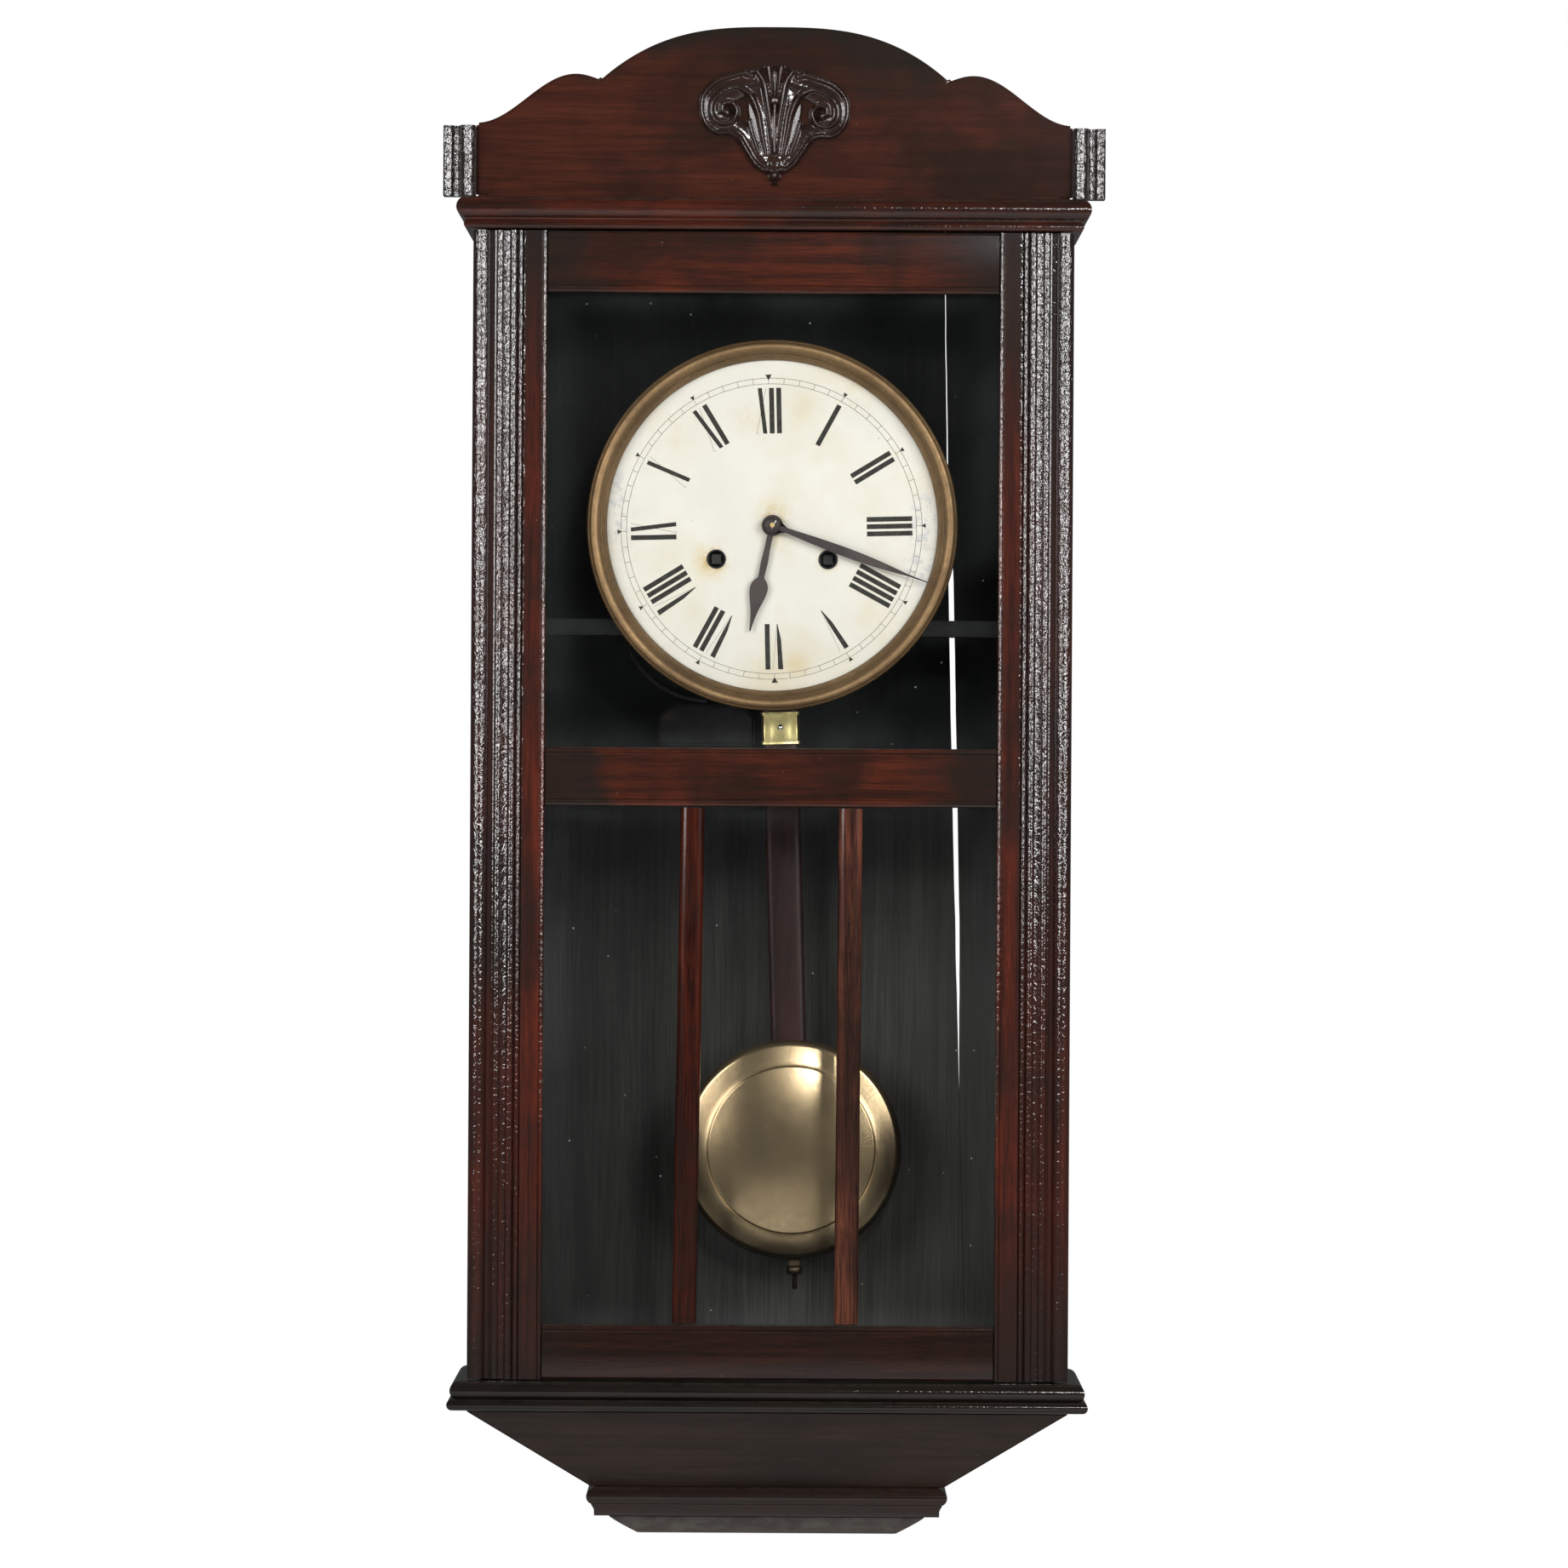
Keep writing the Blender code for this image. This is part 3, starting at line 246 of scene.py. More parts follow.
def piece(name, bm, material, body, replaces=(), crease=35.0):
    """Turns a bmesh in millimetres into a named piece that rides on a body."""
    bmesh.ops.remove_doubles(bm, verts=bm.verts, dist=0.0005)
    bmesh.ops.recalc_face_normals(bm, faces=bm.faces)
    bmesh.ops.scale(bm, vec=(MM, MM, MM), verts=bm.verts)
    mesh = bpy.data.meshes.new(name)
    bm.to_mesh(mesh)
    bm.free()
    mesh.materials.append(material)
    mesh.shade_smooth()
    mesh.set_sharp_from_angle(angle=math.radians(crease))
    obj = bpy.data.objects.new(name, mesh)
    bpy.context.collection.objects.link(obj)
    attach(obj, body)
    if replaces:
        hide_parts(*([replaces] if isinstance(replaces, str) else replaces))
    return obj


# ---------------------------------------------------------------- finishes

class Look:
    """A node material under construction. Its textures use object coordinates, in metres."""

    def __init__(self, name):
        self.material = bpy.data.materials.new(name)
        self.material.use_nodes = True
        self.tree = self.material.node_tree
        self.shader = self.tree.nodes["Principled BSDF"]
        coordinates = self.node("ShaderNodeTexCoord")
        self.place = coordinates.outputs["Object"]
        self.facing = coordinates.outputs["Normal"]

    def node(self, kind, inputs=None, **settings):
        """A new node with its settings and inputs."""
        made = self.tree.nodes.new(kind)
        for key, value in settings.items():
            setattr(made, key, value)
        for key, value in (inputs or {}).items():
            self.feed(made.inputs[key], value)
        return made

    def feed(self, socket, value):
        """Links a socket to another, or gives it a plain value."""
        if isinstance(value, bpy.types.NodeSocket):
            self.tree.links.new(value, socket)
        else:
            socket.default_value = value

    def set(self, **values):
        """Feeds inputs of the shader, named with underscores for spaces."""
        for key, value in values.items():
            self.feed(self.shader.inputs[key.replace("_", " ")], value)
        return self

    def stretched(self, scale, shift=(0.0, 0.0, 0.0)):
        """The object coordinates, scaled and shifted."""
        made = self.node("ShaderNodeMapping", {"Vector": self.place, "Scale": scale, "Location": shift})
        return made.outputs["Vector"]

    def noise(self, scale, stretch=(1.0, 1.0, 1.0), detail=4.0, rough=0.55, twist=0.0, shift=0.0):
        where = self.stretched(stretch, (shift, shift * 0.7, shift * 1.3))
        inputs = {"Vector": where, "Scale": scale, "Detail": detail, "Roughness": rough,
                  "Distortion": twist}
        return self.node("ShaderNodeTexNoise", inputs).outputs["Fac"]

    def cells(self, scale, stretch=(1.0, 1.0, 1.0), feature="DISTANCE_TO_EDGE"):
        """Distance to the edges or to the middles of random cells."""
        made = self.node("ShaderNodeTexVoronoi", {"Vector": self.stretched(stretch), "Scale": scale},
                         feature=feature)
        return made.outputs["Distance"]

    def map(self, value, low, high, to_low=0.0, to_high=1.0):
        """Maps a range onto another with eased ends."""
        inputs = {"Value": value, "From Min": low, "From Max": high, "To Min": to_low, "To Max": to_high}
        return self.node("ShaderNodeMapRange", inputs, interpolation_type="SMOOTHSTEP").outputs["Result"]

    def math(self, kind, a, b=0.0):
        made = self.node("ShaderNodeMath", operation=kind)
        self.feed(made.inputs[0], a)
        self.feed(made.inputs[1], b)
        return made.outputs["Value"]

    def times(self, a, b):
        return self.math("MULTIPLY", a, b)

    def plus(self, a, b):
        return self.math("ADD", a, b)

    def minus(self, a, b):
        return self.math("SUBTRACT", a, b)

    def larger(self, a, b):
        return self.math("MAXIMUM", a, b)

    def away(self, value, middle=0.0):
        """How far a value is from a middle."""
        return self.math("ABSOLUTE", self.minus(value, middle) if middle else value)

    def blend(self, a, b, share):
        """Two values mixed, with `share` of the second."""
        return self.plus(self.times(a, 1.0 - share), self.times(b, share))

    def ramp(self, value, stops):
        """A color from (share, color) stops."""
        made = self.node("ShaderNodeValToRGB", {"Fac": value})
        elements = made.color_ramp.elements
        while len(elements) < len(stops):
            elements.new(0.5)
        for element, (spot, color) in zip(elements, stops):
            element.position = spot
            element.color = (*color, 1.0)
        return made.outputs["Color"]

    def mix(self, share, a, b):
        """Two colors mixed, with `share` of the second."""
        made = self.node("ShaderNodeMix", data_type="RGBA")
        for socket, value in ((made.inputs[0], share), (made.inputs[6], a), (made.inputs[7], b)):
            self.feed(socket, (*value, 1.0) if isinstance(value, tuple) else value)
        return made.outputs[2]

    def bump(self, height, strength, distance, under=None):
        """Bumps in the surface, over those of `under`."""
        inputs = {"Height": height, "Strength": strength, "Distance": distance}
        made = self.node("ShaderNodeBump", inputs)
        if under:
            self.feed(made.inputs["Normal"], under)
        return made.outputs["Normal"]

    def axis(self, name):
        """One object coordinate, in metres."""
        return self.node("ShaderNodeSeparateXYZ", {"Vector": self.place}).outputs[name]

    def upward(self, low, high):
        """How much a surface faces up."""
        made = self.node("ShaderNodeSeparateXYZ", {"Vector": self.facing})
        return self.map(made.outputs["Z"], low, high)

    def spot(self, x, z, radius, soft=0.5):
        """A soft round mask about a point of the front, in millimetres."""
        flat = self.node("ShaderNodeVectorMath", operation="MULTIPLY")
        self.feed(flat.inputs[0], self.place)
        flat.inputs[1].default_value = (1.0, 0.0, 1.0)
        away = self.node("ShaderNodeVectorMath", operation="DISTANCE")
        self.feed(away.inputs[0], flat.outputs["Vector"])
        away.inputs[1].default_value = (x * MM, 0.0, z * MM)
        return self.map(away.outputs["Value"], radius * MM, radius * MM * soft, 0.0, 1.0)


ALONG = {"X": (0.045, 1.0, 1.0), "Z": (1.0, 1.0, 0.045)}  # stretches noise into grain along an axis
INNER_REED, BEAD_GAP = 0.1217, 0.1484  # places across the stiles, from the middle of the clock
SOOT, END_DARK = (0.011, 0.0065, 0.005), (0.010, 0.0085, 0.007)
DUST, FLECK = (0.13, 0.118, 0.102), (0.16, 0.12, 0.10)


def mahogany(name, grain, dark, red, gloss=0.16, coat=1.0, ends=None, dust=0.25, crazed=0.018,
             outer=None, seed=0.0, index=1.5):
    """Old shellacked mahogany: streaked figure under a dusty film.

    `ends` is (axis, middle, reach) and darkens the wood far from the middle. The finish is crazed
    and darker beyond `outer`, the distance from the middle of the clock.
    """
    look = Look(name)
    fibre = look.noise(1500.0, ALONG[grain], 5.0, 0.62, 0.0, seed)
    streak = look.noise(210.0, ALONG[grain], 5.0, 0.6, 0.6, seed + 3.0)
    mottle = look.noise(17.0, detail=5.0, rough=0.6, twist=0.4, shift=seed)
    patch = look.noise(6.5, detail=3.0, rough=0.5, shift=seed + 9.0)
    figure = look.blend(streak, fibre, 0.4)
    black = tuple(value * 0.6 for value in dark)
    wood = look.ramp(figure, [(0.30, black), (0.42, dark), (0.60, red),
                              (0.74, tuple(v * 1.4 for v in red))])
    cloud = look.blend(mottle, patch, 0.45)
    wood = look.mix(look.map(cloud, 0.38, 0.56, 0.25, 1.0), SOOT, wood)
    # the wood turns darker far from the middle along the axis
    if ends:
        axis, middle, reach = ends
        far = look.away(look.axis(axis), middle * MM)
        edge = look.plus(far, look.times(look.minus(mottle, 0.5), 0.16))
        wood = look.mix(look.map(edge, reach * MM * 0.62, reach * MM * 1.02, 0.0, 0.85), wood, END_DARK)
    specks = look.map(look.cells(165.0, feature="F1"), 0.10, 0.045)
    specks = look.times(specks, look.map(look.noise(60.0, shift=seed + 5.0), 0.60, 0.68))
    wood = look.mix(look.times(specks, 0.4), wood, FLECK)
    film = look.noise(120.0, detail=6.0, rough=0.7, shift=seed + 2.0)
    settled = look.times(look.upward(0.55, 0.95), look.map(film, 0.30, 0.62, 0.2, 1.0))
    wood = look.mix(look.times(settled, dust), wood, DUST)
    rough = look.map(film, 0.28, 0.74, gloss + 0.16, gloss + 0.46)
    rough = look.plus(rough, look.times(settled, 0.3))
    upright = grain == "Z"
    lines = look.map(look.cells(330.0, (1.0, 1.0, 0.7) if upright else (0.7, 1.0, 1.0)), 0.0, 0.10)
    beads = look.noise(430.0, (1.0, 1.0, 0.6) if upright else (0.6, 1.0, 1.0), 3.0, 0.65, 0.0, seed + 1.0)
    proud = crazed
    if outer:
        band = outer * MM
        side = look.away(look.axis("X"))
        proud = look.map(side, band - 0.0015, band + 0.0015, crazed, 1.0)
        proud = look.larger(proud, look.map(side, INNER_REED + 0.0005, INNER_REED - 0.0005, 0.0, 0.9))
        proud = look.times(proud, look.map(look.axis("Z"), -0.33, 0.0, 0.22, 1.0))
        gap = look.away(side, BEAD_GAP)
        proud = look.times(proud, look.map(gap, 0.0012, 0.0030, 0.12, 1.0))
        beyond = look.map(side, band - 0.003, band + 0.002, 0.0, 0.72)
        darker = look.times(beyond, look.map(look.axis("Z"), -0.42, -0.12, 0.4, 1.0))
        wood = look.mix(darker, wood, (0.0125, 0.0085, 0.0075))
    skin = look.bump(beads, look.times(proud, 0.72), 0.0007)
    skin = look.bump(lines, look.times(proud, 0.4), 0.0003, skin)
    skin = look.bump(fibre, 0.04, 0.0002, skin)
    look.set(Base_Color=wood, Roughness=rough, Normal=look.bump(fibre, 0.16, 0.0003), Coat_Normal=skin)
    look.set(Coat_Weight=coat, Coat_Roughness=gloss, Coat_IOR=index, IOR=1.4, Specular_IOR_Level=0.02)
    return look.material


def stained_pine(name):
    """Softwood stained black, with fine upright grain that shows grey. Its lower part carries painted light, as if
    lit through the lower pane, with painted shade toward the left and painted light toward the right.
    """
    look = Look(name)
    grain = look.noise(900.0, (1.0, 1.0, 0.02), 6.0, 0.7)
    bands = look.noise(95.0, (1.0, 1.0, 0.05), 4.0, 0.6, 0.8, 4.0)
    cloud = look.noise(9.0, detail=4.0)
    both = look.blend(grain, bands, 0.4)
    color = look.ramp(both, [(0.32, (0.0030, 0.0036, 0.0034)), (0.52, (0.0055, 0.0068, 0.0066)),
                             (0.70, (0.013, 0.0148, 0.0142))])
    color = look.mix(look.map(cloud, 0.35, 0.65, 0.0, 0.5), color, (0.0045, 0.0060, 0.0062))
    # painted light: the lower part of the boards turns lighter grey, as if lit through the lower pane
    lit_below = look.map(look.axis("Z"), -0.10, -0.30, 0.0, 1.0)
    color = look.mix(look.times(lit_below, look.map(both, 0.40, 0.62, 0.35, 0.95)), color,
                     (0.044, 0.0425, 0.038))
    # painted shade: the lower part darker toward the left
    color = look.mix(look.times(lit_below, look.map(look.axis("X"), -0.12, 0.06, 0.62, 0.0)), color,
                     (0.010, 0.0105, 0.0100))
    # painted light: the lower part lighter toward the right
    color = look.mix(look.times(lit_below, look.map(look.axis("X"), 0.035, 0.10, 0.0, 0.4)), color,
                     (0.050, 0.050, 0.044))
    specks = look.map(look.cells(120.0, feature="F1"), 0.075, 0.03)
    specks = look.times(specks, look.map(look.noise(38.0, shift=2.0), 0.58, 0.66))
    color = look.mix(look.times(specks, 0.55), color, (0.14, 0.14, 0.13))
    look.set(Base_Color=color, Roughness=look.map(cloud, 0.3, 0.7, 0.62, 0.85), Specular_IOR_Level=0.22)
    look.set(Normal=look.bump(both, 0.35, 0.0004))
    return look.material


def brass(name, deep, bright, rough=0.3, tarnish=0.5, seed=0.0, metallic=1.0, relief=1.0, disc=None):
    """Aged brass: brown tarnish over a warm metal, with fine scratches and dull patches, and a darker rim round
    `disc` that is painted shade and tarnish, faint at the top.

    `disc` is (x, z, radius) in millimetres.
    """
    look = Look(name)
    cloud = look.noise(26.0, detail=6.0, rough=0.65, twist=0.3, shift=seed)
    fine = look.noise(300.0, detail=5.0, rough=0.7, shift=seed + 2.0)
    lines = look.noise(1400.0, (1.0, 1.0, 0.1), 3.0, 0.6, 0.0, seed)
    tone = look.blend(cloud, fine, 0.35)
    middle = tuple((a + b) / 2.0 for a, b in zip(deep, bright))
    color = look.ramp(tone, [(0.30, deep), (0.50, middle), (0.68, bright)])
    spots = look.map(look.cells(150.0, feature="F1"), 0.20, 0.06)
    spots = look.times(spots, look.map(fine, 0.48, 0.62))
    color = look.mix(look.times(spots, tarnish), color, tuple(value * 0.25 for value in deep))
    if disc:
        # painted shade with tarnish: the rim of the disc darkened, most at the sides and bottom, little at the top
        x, z, radius = disc
        rim_shade = look.minus(1.0, look.spot(x, z, radius, 0.80))
        rim_shade = look.times(rim_shade, look.map(look.axis("Z"), (z + 12.0) * MM, (z + 40.0) * MM, 1.0, 0.1))
        low = look.minus(1.0, look.spot(x, z + 26.0, radius * 1.12, 0.62))
        rim = look.plus(look.times(rim_shade, 0.80), look.times(low, 0.18))
        color = look.mix(rim, color, tuple(value * 0.26 for value in deep))
    dull = look.map(tone, 0.34, 0.66, rough + 0.22 * relief, rough)
    look.set(Base_Color=color, Metallic=metallic, Roughness=dull)
    look.set(Normal=look.bump(lines, 0.10 * relief, 0.0002, look.bump(fine, 0.10 * relief, 0.0004)))
    return look.material


def steel(name, color, rough, metallic=1.0, rust=0.2, seed=0.0):
    """Dull steel or iron with cloudy shine and a little rust."""
    look = Look(name)
    cloud = look.noise(45.0, detail=6.0, rough=0.7, shift=seed)
    fine = look.noise(900.0, (1.0, 1.0, 0.1), 4.0, 0.6, 0.0, seed)
    base = look.mix(look.map(cloud, 0.35, 0.65), tuple(v * 0.55 for v in color), color)
    stain = look.times(look.map(cloud, 0.60, 0.70), rust)
    base = look.mix(stain, base, (0.09, 0.035, 0.015))
    look.set(Base_Color=base, Metallic=metallic, Roughness=look.map(cloud, 0.3, 0.7, rough + 0.18, rough))
    look.set(Normal=look.bump(fine, 0.12, 0.0002))
    return look.material


def dial_paint(name):
    """Cream paint on zinc, stained yellow and rusty round the holes, with painted glare as grey flecks near the
    rim.
    """
    look = Look(name)
    cloud = look.noise(22.0, detail=5.0, rough=0.6)
    fine = look.noise(240.0, detail=5.0, rough=0.7, shift=3.0)
    color = look.ramp(cloud, [(0.35, (0.540, 0.530, 0.468)), (0.50, (0.568, 0.558, 0.497)),
                              (0.66, (0.540, 0.514, 0.420))])
    ragged = look.map(look.blend(cloud, fine, 0.5), 0.36, 0.58)
    stains = [(0.0, 5.0, 15.0, 0.75), (3.0, -8.0, 15.0, 0.45),
              (-WINDING_X - 2.0, WINDING_Z - 1.0, 15.0, 0.95), (-14.0, 56.0, 14.0, 0.30),
              (WINDING_X, WINDING_Z, 10.5, 0.55), (13.0, -74.0, 12.0, 0.50), (-50.0, 48.0, 30.0, 0.16),
              (16.0, 60.0, 14.0, 0.25), (60.0, -50.0, 30.0, 0.22), (0.0, -86.0, 30.0, 0.25),
              (44.0, 76.0, 24.0, 0.30), (8.0, -16.0, 12.0, 0.18), (-84.0, -10.0, 20.0, 0.22),
              (84.0, 24.0, 24.0, 0.22)]
    stain = None
    for x, z, radius, power in stains:
        mask = look.times(look.spot(x, z, radius, 0.0), power)
        stain = mask if stain is None else look.larger(stain, mask)
    stain = look.times(stain, ragged)
    color = look.mix(stain, color, (0.47, 0.36, 0.15))
    for x, z, radius in ((-WINDING_X - 0.6, WINDING_Z - 0.6, 8.8), (WINDING_X, WINDING_Z, 7.6),
                         (0.0, 0.0, 8.6)):
        rust = look.times(look.spot(x, z, radius, 0.35), look.map(fine, 0.38, 0.64, 0.1, 0.62))
        color = look.mix(rust, color, (0.36, 0.22, 0.07))
    # painted glare: grey flecks near the left and right edge, where light glances off the dial
    for x, z in ((81.0, -4.0), (83.0, 8.0), (79.0, -22.0), (-83.0, 2.0), (-84.0, 18.0)):
        edge_glint = look.times(look.spot(x, z, 13.0, 0.3), look.map(fine, 0.50, 0.56))
        color = look.mix(look.times(edge_glint, 0.8), color, (0.42, 0.43, 0.43))
    flecks = look.times(look.map(look.cells(190.0, feature="F1"), 0.07, 0.03), look.map(fine, 0.56, 0.62))
    color = look.mix(look.times(flecks, 0.6), color, (0.30, 0.22, 0.12))
    look.set(Base_Color=color, Roughness=look.map(fine, 0.3, 0.7, 0.42, 0.62), Specular_IOR_Level=0.35)
    look.set(Normal=look.bump(fine, 0.10, 0.0003))
    return look.material


def print_ink(name, color, fade):
    """Printed ink that has worn thin in places."""
    look = Look(name)
    worn = look.noise(420.0, detail=5.0, rough=0.7)
    color = look.mix(look.map(worn, 0.42, 0.72, 0.0, fade), color, (0.55, 0.52, 0.44))
    look.set(Base_Color=color, Roughness=look.map(worn, 0.3, 0.7, 0.55, 0.75), Specular_IOR_Level=0.12,
             Normal=look.bump(worn, 0.1, 0.0002))
    return look.material


def old_glass(name, pane):
    """Clear sheet glass with a hazy film, thicker toward its edges."""
    look = Look(name)
    haze = look.noise(5.5, detail=6.0, rough=0.62, twist=0.6)
    fine = look.noise(330.0, detail=4.0, rough=0.7, shift=5.0)
    across = look.away(look.axis("X"), pane.xm * MM)
    upright = look.away(look.axis("Z"), pane.zm * MM)
    half_x, half_z = (pane.x1 - pane.x0) / 2.0 * MM, (pane.z1 - pane.z0) / 2.0 * MM
    edge = look.larger(look.map(across, half_x - 0.034, half_x - 0.003),
                       look.map(upright, half_z - 0.026, half_z - 0.003))
    film = look.times(look.plus(look.times(look.math("POWER", edge, 2.0), 0.010), 0.0015),
                      look.map(haze, 0.36, 0.64, 0.1, 1.4))
    specks = look.map(look.cells(70.0, feature="F1"), 0.05, 0.02)
    film = look.plus(film, look.times(specks, look.map(fine, 0.5, 0.6, 0.0, 0.5)))
    look.set(Base_Color=look.mix(haze, (0.36, 0.42, 0.41), (0.46, 0.50, 0.48)), Alpha=film)
    look.set(Roughness=look.map(fine, 0.3, 0.7, 0.30, 0.55), Normal=look.bump(haze, 0.05, 0.0005))
    return look.material


def dusty_wood(name):
    """Dark wood under grey dust and old wax."""
    look = Look(name)
    cloud = look.noise(75.0, detail=7.0, rough=0.72, twist=0.3)
    streak = look.noise(420.0, ALONG["X"], 5.0, 0.65)
    color = look.ramp(streak, [(0.32, (0.012, 0.008, 0.006)), (0.66, (0.040, 0.022, 0.016))])
    color = look.mix(look.map(cloud, 0.36, 0.66, 0.12, 0.75), color, (0.105, 0.098, 0.088))
    look.set(Base_Color=color, Roughness=look.map(cloud, 0.3, 0.7, 0.42, 0.72), Specular_IOR_Level=0.35)
    look.set(Normal=look.bump(cloud, 0.25, 0.0006, look.bump(streak, 0.2, 0.0003)))
    return look.material


# ---------------------------------------------------------------- case

DARK, RED = (0.026, 0.0060, 0.0034), (0.084, 0.0135, 0.0062)

WOOD = {
    "stile": mahogany("mahogany_stile", "Z", DARK, RED, 0.07, ends=("Z", -150.0, 310.0), outer=131.0,
                      index=1.85),
    "rail": mahogany("mahogany_rail", "X", (0.024, 0.0072, 0.0042), (0.072, 0.0150, 0.0070), 0.07, 0.7,
                     ends=("X", 0.0, 110.0), seed=11.0),
    "low_rail": mahogany("mahogany_low_rail", "X", (0.010, 0.0046, 0.0034), (0.022, 0.0080, 0.0052), 0.09,
                         0.7, ends=("X", 0.0, 150.0), seed=17.0),
    "bar": mahogany("mahogany_bar", "Z", (0.013, 0.0026, 0.0015), (0.052, 0.0088, 0.0038), 0.09,
                    0.8, seed=23.0),
    "worn_bar": mahogany("mahogany_worn_bar", "Z", (0.026, 0.0098, 0.0070), (0.130, 0.0400, 0.0220), 0.08,
                         0.8, seed=27.0),
    "crest": mahogany("mahogany_crest", "X", (0.028, 0.0086, 0.0052), (0.054, 0.0140, 0.0074), 0.07, 0.5,
                      ends=("Z", 172.0, 88.0), seed=31.0),
    "leaf": mahogany("mahogany_leaf", "X", (0.014, 0.0080, 0.0065), (0.030, 0.0135, 0.0100), 0.10, seed=37.0,
                     crazed=0.14),
    "case": mahogany("mahogany_case", "Z", DARK, (0.060, 0.016, 0.010), 0.14, seed=41.0),
    "cornice": mahogany("mahogany_cornice", "X", (0.018, 0.0062, 0.0042), (0.060, 0.0118, 0.0058), 0.07, 0.8,
                        dust=0.15, seed=54.0, crazed=0.12),
    "plinth": mahogany("mahogany_plinth", "X", (0.0045, 0.0040, 0.0032), (0.0095, 0.0076, 0.0056), 0.07, 0.7,
                       dust=0.10, seed=57.0, crazed=0.10),
    "moulding": mahogany("mahogany_moulding", "X", (0.009, 0.0050, 0.0036), (0.023, 0.0094, 0.0060), 0.08,
                         0.7, dust=0.08, seed=53.0, crazed=0.04),
    "apron": mahogany("mahogany_apron", "X", (0.015, 0.0092, 0.0068), (0.027, 0.0148, 0.0108), 0.34, 0.4,
                      seed=61.0, dust=0.35),
    "rod": mahogany("mahogany_rod", "Z", (0.014, 0.0065, 0.0060), (0.032, 0.0125, 0.0110), 0.34,
                    0.3, seed=71.0),
}
PINE = stained_pine("stained_pine_boards")
DUSTY = dusty_wood("dusty_drop_block")
COPPERY = brass("bezel_brass", (0.115, 0.071, 0.034), (0.265, 0.170, 0.082), 0.44, 0.4,
                metallic=0.82, relief=0.5)
BOB_DROP = 383.7  # from the pivot down to the middle of the bob
BOB_SPOT = Vector(joints["pendulum_swing"]["pos_m"]) / MM - Vector(joints["bob_slide"]["axis"]) * BOB_DROP
BOB_BRASS = brass("bob_brass", (0.30, 0.222, 0.125), (0.42, 0.328, 0.190), 0.17, 0.25, 7.0, metallic=0.9,
                  relief=0.3, disc=(BOB_SPOT.x, BOB_SPOT.z, 53.0))
DARK_BRASS = brass("darkened_brass", (0.030, 0.023, 0.015), (0.10, 0.072, 0.040), 0.28, 0.5, 15.0)
BRIGHT_BRASS = brass("ferrule_brass", (0.46, 0.38, 0.14), (0.93, 0.82, 0.40), 0.26, 0.3, 9.0, metallic=0.82)
HINGE_BRASS = brass("hinge_brass_worn", (0.16, 0.10, 0.04), (0.50, 0.36, 0.16), 0.30, 0.6, 13.0)
PLATE_BRASS = brass("movement_brass_aged", (0.28, 0.19, 0.075), (0.62, 0.46, 0.22), 0.26, 0.4, 19.0)
STEEL = steel("movement_steel_worn", (0.42, 0.42, 0.43), 0.24)
BRIGHT = steel("bright_steel", (0.72, 0.70, 0.66), 0.16, rust=0.05, seed=4.0)
BRONZE = steel("bronzed_hands", (0.034, 0.025, 0.022), 0.44, 0.3, 0.1, 8.0)
BLUED = steel("blackened_gong_wire", (0.020, 0.020, 0.022), 0.5, 0.3, 0.1, 21.0)
DARK_STEEL = steel("winding_steel", (0.040, 0.039, 0.037), 0.30, seed=6.0)
IRON = steel("black_cast_iron", (0.005, 0.0052, 0.0052), 0.8, 0.2, 0.15, 12.0)
# black steel for the tubes that line the winding holes as painted shade
SHADE_BLACK = steel("black_collet_painted_shade", (0.010, 0.010, 0.010), 0.6, 0.0, 0.0, 16.0)


def case_boards():
    """The sides, the top and the bottom. The right side is let in for the hinges."""
    for name in ("side_left", "side_right", "top_board", "bottom_board"):
        b = Box(name)
        shape = b.board(0.7)
        if name == "side_right":
            for level in ("upper", "lower"):
                leaf = Box("hinge_case_leaf_" + level)
                across, height = (leaf.x0 - FIT, b.x1 + 2.0), (leaf.z0 - FIT, leaf.z1 + FIT)
                shape = cut(shape, board(across, (b.y0 - 1.0, b.y0 + 1.5), height, 0.05))
        wood = WOOD["case"] if name.startswith("side") else WOOD["moulding"]
        piece(name + "_board", shape, wood, "case", name)


